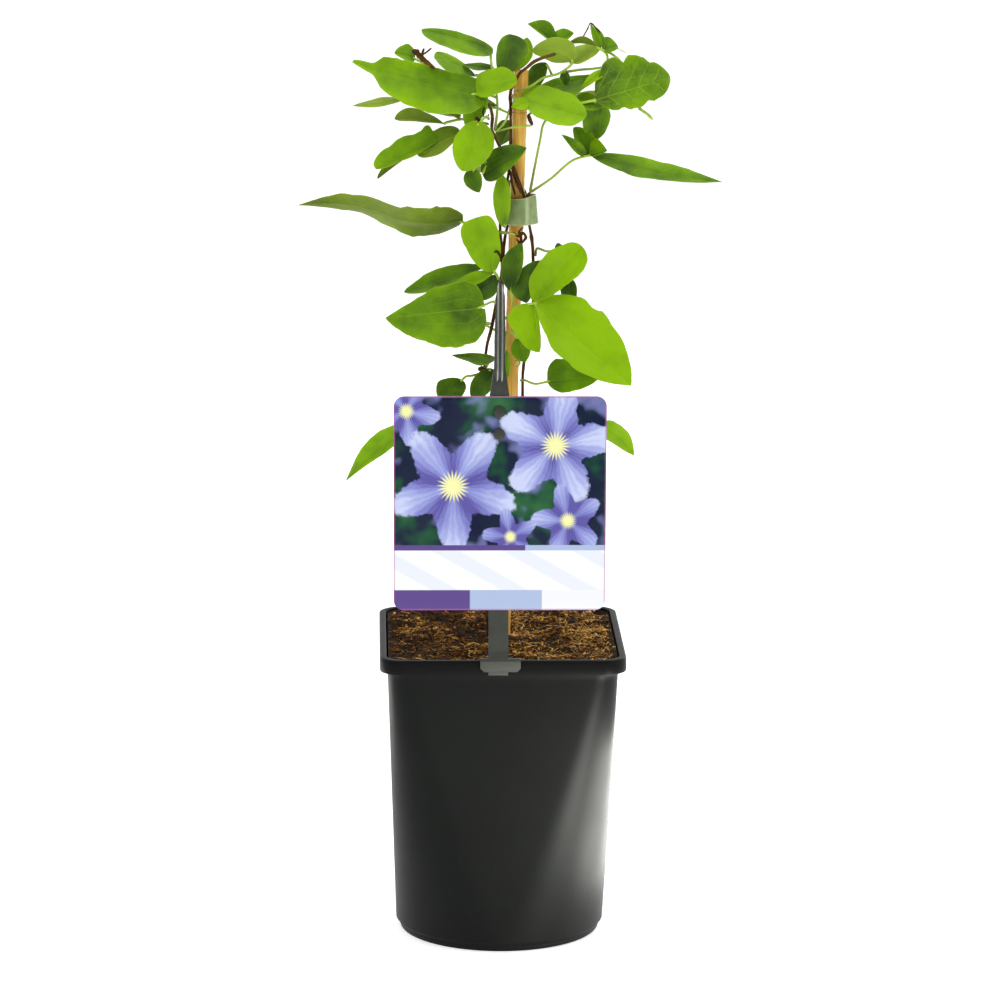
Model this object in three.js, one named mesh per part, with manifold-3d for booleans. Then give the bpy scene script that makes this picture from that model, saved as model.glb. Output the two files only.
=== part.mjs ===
// A young clematis in a square-to-round nursery pot, led up one bamboo cane,
// with a plastic band round cane and stems and a picture label clipped to the rim.
// Millimetres, +Z up. The origin is the middle of the pot's underside, -Y is the label side.

import * as THREE from 'three';
import { mergeVertices } from 'three/addons/utils/BufferGeometryUtils.js';
import Module from 'manifold-3d';

const wasm = await Module();
wasm.setup();

// ---------------------------------------------------------------- driving dimensions
const GAP = 0.3; // clearance between pieces that touch
const FINENESS = 0.05; // detail smaller than this is merged away

const POT_HEIGHT = 162;
const RIM_HALF = 65; // half the outer width across the flats of the rim
const RIM_BAND = 8; // height of the rim's outer band
const RIM_TOP = 3.6; // width of the rim's flat top
const BODY_HALF_TOP = 60.9; // half width of the body just under the rim
const BODY_RADIUS_LOW = 56; // the body is round where it meets the foot
const FOOT_HEIGHT = 5;
const FOOT_RADIUS = 54.4;
const CORNER_TOP = 12; // corner radius at the rim, which opens out into the round foot
const WALL = 1.6;
const BASE_RECESS = 3; // depth of the drainage channel under the pot
const PAD_RADIUS = 12;
const CHANNEL_RADIUS = 46;
const DRAIN_HOLES = 8;
const DRAIN_RADIUS = 4;
const DRAIN_RING = 39; // the holes' centres lie on this radius

const SOIL_LEVEL = 160.2;
const SOIL_LUMPS = 1.3;
const HOLE_DEPTH = 44; // how far the stems reach into the soil
const HOLE_CLEARANCE = 0.5;

const CANE_RADIUS = 4;
const CANE_RIDGE = 0.25; // how far the nodes stand proud
const CANE_NODES = [128, 262, 392, 446];
const CANE_TOP = 465;
const CANE_FOOT = 20;
const CANE_X = 1.3; // where the cane's axis leaves the soil
const CANE_LEAN = 0.0268; // sideways run for each millimetre of height

const LABEL_WIDTH = 110.5;
const LABEL_HEIGHT = 113.5;
const LABEL_THICK = 0.6;
const LABEL_CORNER = 5.5;
const LABEL_X = -2.6;
const LABEL_LOW = 190;
const STAKE_WIDTH = 10.4;
const STAKE_THICK = 1.6;
const STAKE_X = -3;
const STAKE_LOW = 154.7;
const STAKE_SHOULDER = 303; // the strip narrows above this height
const STAKE_TOP = 343;
const STUD_HEIGHTS = [283.7, 295.3];
const STUD_RADIUS = 2.2;
const CLIP_WIDTH = 21.2; // the wings that grip the rim from outside
const CLIP_X = -1.8;
const CLIP_LOW = 156.4;
const CLIP_HIGH = 163.6;
const LEG_THICK = 1.4; // the clip's leg inside the rim, which stands in the soil's edge
const LEG_FOOT = 157.8;

const BAND_TOP = 399.5;
const BAND_HEIGHT = 14;
const BAND_THICK = 0.9;
const BAND_FLARE = 0.13; // how far it opens out to the right towards its lower edge

const STEM_RADIUS = 0.95;
const STEM_STEPS = 44;
const STALK_RADIUS = 0.8;
const BLADE_THICK = 0.8;

// ---------------------------------------------------------------- solids
const rad = THREE.MathUtils.degToRad;
const vec = (p) => new THREE.Vector3(...p);

// a fixed sequence of values from 0 to 1
function dice(seed) {
  let state = seed;
  return () => {
    state = (state * 48271) % 2147483647;
    return state / 2147483647;
  };
}

function toSolid(geometry) {
  const bare = geometry.index ? geometry.toNonIndexed() : geometry;
  bare.deleteAttribute('normal');
  bare.deleteAttribute('uv');
  const merged = mergeVertices(bare, 1e-4);
  const mesh = new wasm.Mesh({
    numProp: 3,
    vertProperties: new Float32Array(merged.attributes.position.array),
    triVerts: new Uint32Array(merged.index.array),
  });
  return new wasm.Manifold(mesh);
}

function toMesh(name, solid, finish) {
  const { vertProperties, triVerts } = solid.asOriginal().simplify(FINENESS).getMesh();
  const geometry = new THREE.BufferGeometry();
  geometry.setAttribute('position', new THREE.BufferAttribute(vertProperties, 3));
  geometry.setIndex(new THREE.BufferAttribute(triVerts, 1));
  geometry.computeVertexNormals();
  const mesh = new THREE.Mesh(geometry, finish);
  mesh.name = name;
  return mesh;
}

function material(color, roughness, extra = {}) {
  return new THREE.MeshStandardMaterial({ color, roughness, metalness: 0, ...extra });
}

// a closed skin through rings of equal point counts, each end closed by a fan
function loft(rings) {
  const count = rings[0].length;
  const points = rings.flat();
  const faces = [];
  rings.slice(1).forEach((_, row) => {
    for (let i = 0; i < count; i += 1) {
      const j = (i + 1) % count;
      const low = row * count;
      const high = low + count;
      faces.push([low + i, low + j, high + j], [low + i, high + j, high + i]);
    }
  });
  const middle = (ring) => (
    ring.reduce((sum, p) => sum.add(p), new THREE.Vector3()).divideScalar(count)
  );
  const foot = points.push(middle(rings[0])) - 1;
  const head = points.push(middle(rings.at(-1))) - 1;
  const last = (rings.length - 1) * count;
  for (let i = 0; i < count; i += 1) {
    const j = (i + 1) % count;
    faces.push([foot, j, i], [head, last + i, last + j]);
  }
  return skin(points, faces);
}

function skin(points, faces) {
  const geometry = new THREE.BufferGeometry().setFromPoints(points);
  geometry.setIndex(faces.flat());
  return toSolid(geometry);
}

function box(width, depth, height, x, y, z) {
  return toSolid(new THREE.BoxGeometry(width, depth, height).translate(x, y, z));
}

function post(radius, low, high, x, y, sides = 8) {
  const geometry = new THREE.CylinderGeometry(radius, radius, high - low, sides);
  return toSolid(geometry.rotateX(rad(90)).translate(x, y, (low + high) / 2));
}

function tube(points, radius, sides, steps) {
  const section = new THREE.Shape();
  for (let i = 0; i < sides; i += 1) {
    const angle = (2 * Math.PI * i) / sides;
    const corner = [radius * Math.cos(angle), radius * Math.sin(angle)];
    if (i === 0) section.moveTo(...corner);
    else section.lineTo(...corner);
  }
  const extrudePath = new THREE.CatmullRomCurve3(points.map(vec), false, 'centripetal');
  return toSolid(new THREE.ExtrudeGeometry(section, { steps, extrudePath }));
}

const union = (solids) => wasm.Manifold.union(solids);

// ---------------------------------------------------------------- pot and soil
// angles from a corner of the pot, closer together where the corner turns
const CORNER_STEPS = [-30, -17, -8, -3, 3, 8, 17, 30, 45];
const AROUND = [45, 135, 225, 315].flatMap((corner) => (
  CORNER_STEPS.map((step) => rad(corner + step))
));

// distance from the axis to a rounded square of half width a and corner radius c
function squareRadius(angle, a, c) {
  const fromFlat = Math.abs(((angle + Math.PI / 4) % (Math.PI / 2)) - Math.PI / 4);
  if (a * Math.tan(fromFlat) <= a - c) return a / Math.cos(fromFlat);
  const fromCorner = Math.PI / 4 - fromFlat;
  const centre = Math.SQRT2 * (a - c);
  return centre * Math.cos(fromCorner) + Math.sqrt(c ** 2 - (centre * Math.sin(fromCorner)) ** 2);
}

function potRing(z, a, c) {
  const corner = Math.min(c, a);
  return AROUND.map((angle) => {
    const r = squareRadius(angle, a, corner);
    return new THREE.Vector3(r * Math.cos(angle), r * Math.sin(angle), z);
  });
}

// the body tapers in a straight line while its corners open into a full circle
const BODY_TOP = POT_HEIGHT - RIM_BAND;
const taper = (z) => (BODY_TOP - z) / (BODY_TOP - FOOT_HEIGHT);
const bodyHalf = (z) => BODY_HALF_TOP + (BODY_RADIUS_LOW - BODY_HALF_TOP) * taper(z);
const bodyCorner = (z) => CORNER_TOP + (BODY_RADIUS_LOW - CORNER_TOP) * Math.max(0, taper(z)) ** 1.15;

const SIDE_LEVELS = [45, 80, 115];
const NECK = BODY_TOP - 4; // the wall turns outwards here to the rim
const THROAT_HALF = RIM_HALF - RIM_TOP - 0.6; // half the opening's width under the rim
const LEG_FRONT = -THROAT_HALF + GAP;

function pot() {
  const levels = [FOOT_HEIGHT, ...SIDE_LEVELS, NECK];
  const outside = loft([
    potRing(0, FOOT_RADIUS - 0.8, FOOT_RADIUS),
    potRing(FOOT_HEIGHT - 0.6, FOOT_RADIUS + 0.4, FOOT_RADIUS + 0.4),
    ...levels.map((z) => potRing(z, bodyHalf(z), bodyCorner(z))),
    potRing(BODY_TOP - 0.01, BODY_HALF_TOP + 1.2, CORNER_TOP),
    potRing(BODY_TOP, RIM_HALF, CORNER_TOP + 0.3),
    potRing(POT_HEIGHT - 0.8, RIM_HALF, CORNER_TOP + 0.3),
    potRing(POT_HEIGHT, RIM_HALF - 0.5, CORNER_TOP),
  ]);
  const inside = loft([
    potRing(BASE_RECESS + WALL, FOOT_RADIUS - WALL - 0.6, FOOT_RADIUS),
    potRing(FOOT_HEIGHT + 1, FOOT_RADIUS - WALL, FOOT_RADIUS),
    ...levels.slice(1).map((z) => potRing(z, bodyHalf(z) - WALL, bodyCorner(z) - WALL)),
    potRing(BODY_TOP + 1, THROAT_HALF, CORNER_TOP - 2),
    potRing(POT_HEIGHT + 1, RIM_HALF - RIM_TOP, CORNER_TOP - 2),
  ]);
  const profile = [
    [PAD_RADIUS, -1],
    [CHANNEL_RADIUS, -1],
    [CHANNEL_RADIUS - 1, BASE_RECESS],
    [PAD_RADIUS + 1, BASE_RECESS],
    [PAD_RADIUS, -1],
  ].map((p) => new THREE.Vector2(...p));
  const channel = toSolid(new THREE.LatheGeometry(profile, 24).rotateX(rad(90)));
  const holes = Array.from({ length: DRAIN_HOLES }, (_, i) => {
    const angle = rad(22.5 + (360 * i) / DRAIN_HOLES);
    const [x, y] = [DRAIN_RING * Math.cos(angle), DRAIN_RING * Math.sin(angle)];
    return post(DRAIN_RADIUS, -1, BASE_RECESS + WALL + 1, x, y, 6);
  });
  return outside.subtract(union([inside, channel, ...holes]));
}

// the soil fills the pot up to its rim with a lumpy top, and cane, stems and the clip's leg
// stand in plain holes in it
function soil(feet) {
  const roll = dice(20);
  const inset = WALL + GAP;
  const lumpy = (share) => AROUND.map((angle) => {
    const r = squareRadius(angle, THROAT_HALF - GAP, CORNER_TOP - 2) * share;
    const z = SOIL_LEVEL + (roll() - 0.5) * 2 * SOIL_LUMPS;
    return new THREE.Vector3(r * Math.cos(angle), r * Math.sin(angle), z);
  });
  const body = loft([
    potRing(BASE_RECESS + WALL + GAP, FOOT_RADIUS - inset - 0.6, FOOT_RADIUS),
    potRing(FOOT_HEIGHT + 1, FOOT_RADIUS - inset, FOOT_RADIUS),
    ...[...SIDE_LEVELS, NECK].map((z) => potRing(z, bodyHalf(z) - inset, bodyCorner(z) - inset)),
    lumpy(1),
    lumpy(0.75),
    lumpy(0.45),
  ]);
  const above = SOIL_LEVEL + 20;
  const caneHole = post(CANE_RADIUS + CANE_RIDGE + GAP, CANE_FOOT - GAP, above, 0, 0, 12);
  const holes = feet.map(([x, y]) => (
    post(STEM_RADIUS + HOLE_CLEARANCE, SOIL_LEVEL - HOLE_DEPTH - GAP, above, x, y)
  ));
  const pocketFoot = LEG_FOOT - GAP;
  const pocket = box(
    STAKE_WIDTH + 2 * GAP, LEG_THICK + 2 * GAP, above - pocketFoot,
    STAKE_X, LEG_FRONT + LEG_THICK / 2, (above + pocketFoot) / 2,
  );
  return body.subtract(union([leaning(caneHole), pocket, ...holes]));
}

// ---------------------------------------------------------------- cane and band
function leaning(solid) {
  const shift = CANE_X - SOIL_LEVEL * CANE_LEAN;
  return solid.warp((p) => {
    p[0] += shift + p[2] * CANE_LEAN;
  });
}

// bamboo: slim between its nodes, with a ridge at each
function cane() {
  const profile = [[0, CANE_FOOT], [CANE_RADIUS - 0.2, CANE_FOOT]];
  CANE_NODES.forEach((z) => {
    profile.push([CANE_RADIUS - 0.15, z - 6], [CANE_RADIUS + CANE_RIDGE, z]);
    profile.push([CANE_RADIUS - 0.3, z + 1.5]);
  });
  profile.push([CANE_RADIUS - 0.2, CANE_TOP], [0, CANE_TOP]);
  const points = profile.map((p) => new THREE.Vector2(...p));
  return leaning(toSolid(new THREE.LatheGeometry(points, 12).rotateX(rad(90))));
}

// a band of sheet plastic, drawn to a corner in front and opening out downwards
function caneBand() {
  const section = [[1.5, -5.6], [3, -6.6], [10.8, -8.4], [12.2, -7.8], [17.8, 0.4], [17.6, 2.6],
    [13.4, 8], [11.8, 8.8], [3, 8.6], [1.2, 7.2], [0.4, 0]];
  const centre = new THREE.Vector2(8.4, 0);
  const wall = (inset) => (z) => section.map(([x, y]) => {
    const arm = new THREE.Vector2(x, y).sub(centre);
    arm.setLength(arm.length() - inset);
    const spread = x > centre.x ? 1 + (BAND_FLARE * (BAND_TOP - z)) / BAND_HEIGHT : 1;
    return new THREE.Vector3(centre.x + arm.x * spread, arm.y, z);
  });
  const [outer, inner] = [wall(0), wall(BAND_THICK * 1.1)];
  const low = BAND_TOP - BAND_HEIGHT;
  const shell = loft([outer(low), outer(BAND_TOP)]);
  return shell.subtract(loft([inner(low - 1), inner(BAND_TOP + 1)]));
}

// ---------------------------------------------------------------- label and its stake
const LABEL_FRONT = -RIM_HALF - GAP - STAKE_THICK - GAP - LABEL_THICK;

// a flat piece from an outline in x and z, its front face at y
function upright(shape, thick, y) {
  const settings = { depth: thick, bevelEnabled: false, curveSegments: 9 };
  const geometry = new THREE.ExtrudeGeometry(shape, settings);
  return toSolid(geometry.rotateX(rad(90)).translate(0, y + thick, 0));
}

function outlineOf(points) {
  return new THREE.Shape(points.map((p) => new THREE.Vector2(...p)));
}

function labelPanel() {
  const left = LABEL_X - LABEL_WIDTH / 2;
  const right = left + LABEL_WIDTH;
  const high = LABEL_LOW + LABEL_HEIGHT;
  const r = LABEL_CORNER;
  const shape = new THREE.Shape();
  shape.absarc(left + r, LABEL_LOW + r, r, rad(180), rad(270), false);
  shape.absarc(right - r, LABEL_LOW + r, r, rad(270), rad(360), false);
  shape.absarc(right - r, high - r, r, 0, rad(90), false);
  shape.absarc(left + r, high - r, r, rad(90), rad(180), false);
  shape.closePath();
  STUD_HEIGHTS.forEach((z) => {
    const hole = new THREE.Path();
    hole.absarc(STAKE_X, z, STUD_RADIUS + GAP + 0.15, 0, rad(360), true);
    shape.holes.push(hole);
  });
  return upright(shape, LABEL_THICK, LABEL_FRONT);
}

// the strip rises from a clip over the rim, carries the label on two studs, and narrows
function labelStake() {
  const half = STAKE_WIDTH / 2;
  const front = LABEL_FRONT + LABEL_THICK + GAP;
  const strip = upright(outlineOf([
    [STAKE_X - half, STAKE_LOW], [STAKE_X + half, STAKE_LOW], [STAKE_X + half, STAKE_SHOULDER],
    [STAKE_X + 3, STAKE_SHOULDER + 15], [STAKE_X + 2.4, STAKE_TOP], [STAKE_X - 2.4, STAKE_TOP],
    [STAKE_X - 3, STAKE_SHOULDER + 15], [STAKE_X - half, STAKE_SHOULDER],
  ]), STAKE_THICK, front);
  const wing = CLIP_WIDTH / 2;
  const wings = upright(outlineOf([
    [CLIP_X - wing + 2, CLIP_LOW], [CLIP_X + wing - 2, CLIP_LOW], [CLIP_X + wing, CLIP_LOW + 2],
    [CLIP_X + wing, CLIP_HIGH], [CLIP_X - wing, CLIP_HIGH], [CLIP_X - wing, CLIP_LOW + 2],
  ]), STAKE_THICK, front);
  const depth = LEG_FRONT + LEG_THICK - front;
  const bridgeTop = POT_HEIGHT + GAP + LEG_THICK;
  const bridge = box(
    STAKE_WIDTH, depth, LEG_THICK, STAKE_X, front + depth / 2, bridgeTop - LEG_THICK / 2,
  );
  const leg = box(
    STAKE_WIDTH, LEG_THICK, bridgeTop - LEG_FOOT,
    STAKE_X, LEG_FRONT + LEG_THICK / 2, (bridgeTop + LEG_FOOT) / 2,
  );
  const studs = STUD_HEIGHTS.flatMap((z) => {
    const pin = new THREE.CylinderGeometry(STUD_RADIUS, STUD_RADIUS, 2.4, 12);
    const head = new THREE.CylinderGeometry(STUD_RADIUS + 0.6, STUD_RADIUS + 0.8, 0.9, 12);
    return [
      toSolid(pin.translate(STAKE_X, front - 0.4, z)),
      toSolid(head.translate(STAKE_X, LABEL_FRONT - GAP - 0.45, z)),
    ];
  });
  return union([strip, wings, bridge, leg, ...studs]);
}

// a clear pointed tongue with raised ribs, at the head of the stake
function stakeTongue() {
  const front = LABEL_FRONT + LABEL_THICK + GAP;
  const blade = upright(outlineOf([
    [STAKE_X - 2.6, 315], [STAKE_X - 1.6, 311], [STAKE_X, 313.5], [STAKE_X + 1.2, 311],
    [STAKE_X + 2.4, 315.5], [STAKE_X + 2.9, 335], [STAKE_X + 2.5, 356], [STAKE_X + 1.2, 362],
    [STAKE_X - 0.2, 364.5], [STAKE_X - 1.4, 361], [STAKE_X - 2.2, 352], [STAKE_X - 2.9, 332],
  ]), 0.9, front - GAP - 0.9);
  const ribs = [-1.8, -0.6, 0.6, 1.8].map((x) => {
    const high = 360 - Math.abs(x) * 3;
    return box(0.5, 0.8, high - 317, STAKE_X + x, front - GAP - 1.2, (317 + high) / 2);
  });
  return union([blade, ...ribs]);
}

// ---------------------------------------------------------------- stems
// each stem's course, from its foot in the soil upwards
const STEMS = {
  stem_main: [[-2.5, -9, 161], [-1.8, -8, 182], [-1.3, -7, 225], [-0.9, -6, 263], [-0.5, -6, 301],
    [-0.2, -6, 333], [-0.3, -6, 365], [-1.4, -6.2, 383], [-1.3, -6.4, 396], [1, -5.6, 403],
    [2.8, -4.6, 410], [3.9, -3.5, 423], [4, -3.2, 444], [4, -3.8, 455], [5.9, -5.8, 459],
    [8.5, -6, 464], [12.3, -5, 467], [16, -4.5, 470], [20.7, -4, 472], [27.5, -3, 474]],
  stem_right: [[3.8, 8, 161], [4.6, 7.8, 190], [9.6, 5, 232], [11.3, 2, 262], [11.2, 1, 291],
    [11.4, 1, 305], [12.9, 1, 316], [15.5, 1, 332], [16.9, 1, 348], [16.3, 1, 366],
    [16, 0.5, 372], [15, -0.6, 379], [13.6, -2.6, 386], [12, -4.6, 395], [10, -6.2, 403],
    [6, -8.5, 413], [2, -8.5, 421], [-1.4, -7.5, 425], [-4, -6, 430], [-5.9, -5, 434],
    [-5.7, -5, 441], [-6.5, -6, 445], [-7.8, -7, 448]],
  stem_left: [[-6.8, 1, 161], [-8, 2, 201], [-9.2, 0, 251], [-9.4, -3, 290], [-9, -3, 308],
    [-8, -3, 319], [-5.5, -3, 329], [-2.8, -3, 344], [-1.2, -3, 352], [0.3, -2, 364],
    [0.9, -0.6, 373], [2, 3, 379], [3.4, 5.4, 384], [4.6, 5.8, 393], [5.1, 5.8, 406],
    [6, 5.7, 428], [5.9, 6, 449]],
  stem_back: [[-2, 8.5, 161], [1.5, 9.5, 205], [7, 8.5, 245], [7.9, 7, 290], [7.9, 6.6, 331],
    [8, 6.4, 363], [8.9, 6.1, 384], [10, 6, 393], [10.3, 6.5, 422], [11.3, 7, 443], [12.3, 8, 456]],
};

const footOf = (course) => [course[0][0], course[0][1]];

function stem(course) {
  const [x, y] = footOf(course);
  const foot = [SOIL_LEVEL - HOLE_DEPTH, SOIL_LEVEL - HOLE_DEPTH / 2].map((z) => [x, y, z]);
  return tube([...foot, ...course], STEM_RADIUS, 5, STEM_STEPS);
}

// ---------------------------------------------------------------- leaves
const TAIL_SPAN = [0.74, 0.84]; // shares of the length between which a tailed blade narrows

// a half blade's width at share u of the length, widest at belly, less the tail's share near
// its point
function outline(u, belly, taper, tail) {
  const swell = (taper * belly) / (1 - belly);
  const drop = tail * THREE.MathUtils.smoothstep(u, ...TAIL_SPAN);
  return (u / belly) ** swell * ((1 - u) / (1 - belly)) ** taper * (1 - drop);
}

// the rows and columns of a blade's faces, by its least width
const LEAF_GRIDS = [[24, 7, 4], [15, 5, 4], [0, 4, 2]];

const pair = (value) => (Array.isArray(value) ? value : [value, value]);

// One blade between its base and tip, with its upper side facing the given way. Each half has
// its own width, belly and taper. The halves rise by the fold angle, the midrib bows up by
// arch, sideways by sway and into an S by bend, and the edges wave.
function leaf(from, tip, widths, faces, shape = {}) {
  const { belly = 0.38, taper = 0.95, tail = 0, fold = 10, heart = 0 } = shape;
  const { arch = 0.06, bend = 0, sway = 0, wave = 0.05, waves = 1.5 } = shape;
  const axis = vec(tip).sub(vec(from));
  const length = axis.length();
  axis.normalize();
  const up = vec(faces).addScaledVector(axis, -vec(faces).dot(axis)).normalize();
  const side = up.clone().cross(axis);
  const [, rows, columns] = LEAF_GRIDS.find(([least]) => widths[0] + widths[1] >= least);
  const layer = (offset) => {
    const points = [];
    for (let i = 0; i <= rows; i += 1) {
      const u = (1 - Math.cos((Math.PI * i) / rows)) / 2;
      const halves = widths.map((width, k) => (
        Math.max(width * outline(u, pair(belly)[k], pair(taper)[k], tail), i === 0 ? 0.7 : 0.45)
      ));
      const bow = 4 * u * (1 - u) * length;
      const sag = bend * length * Math.sin(2 * Math.PI * u);
      for (let j = 0; j <= columns; j += 1) {
        const v = (2 * j) / columns - 1;
        const half = v > 0 ? halves[0] : halves[1];
        const out = Math.abs(v);
        const along = length * (u - heart * out ** 1.5 * (1 - u) ** 4);
        const phase = 2 * Math.PI * waves * u + (v > 0 ? 0.6 : 2.4);
        const rise = half * out * Math.sin(rad(fold)) + arch * bow + sag;
        const lift = rise + wave * half * v * v * Math.sin(phase) + offset / Math.cos(rad(fold));
        points.push(vec(from).addScaledVector(axis, along)
          .addScaledVector(side, half * v * Math.cos(rad(fold)) + sway * bow)
          .addScaledVector(up, lift));
      }
    }
    return points;
  };
  const points = [...layer(BLADE_THICK / 2), ...layer(-BLADE_THICK / 2)];
  return skin(points, sheetFaces(rows, columns));
}

// the faces of a sheet of two like layers, closed round its edge
function sheetFaces(rows, columns) {
  const span = columns + 1;
  const under = (rows + 1) * span;
  const faces = [];
  const quad = (a, b, c, d) => faces.push([a, b, c], [a, c, d]);
  for (let i = 0; i < rows; i += 1) {
    for (let j = 0; j < columns; j += 1) {
      const a = i * span + j;
      quad(a, a + span, a + span + 1, a + 1);
      quad(under + a, under + a + 1, under + a + span + 1, under + a + span);
    }
    const [left, right] = [i * span, i * span + columns];
    quad(left, under + left, under + left + span, left + span);
    quad(right, right + span, under + right + span, under + right);
  }
  for (let j = 0; j < columns; j += 1) {
    const last = rows * span + j;
    quad(j, j + 1, under + j + 1, under + j);
    quad(last, under + last, under + last + 1, last + 1);
  }
  return faces;
}

const stalk = (...points) => tube(points, STALK_RADIUS, 4, points.length + 1);

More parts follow.
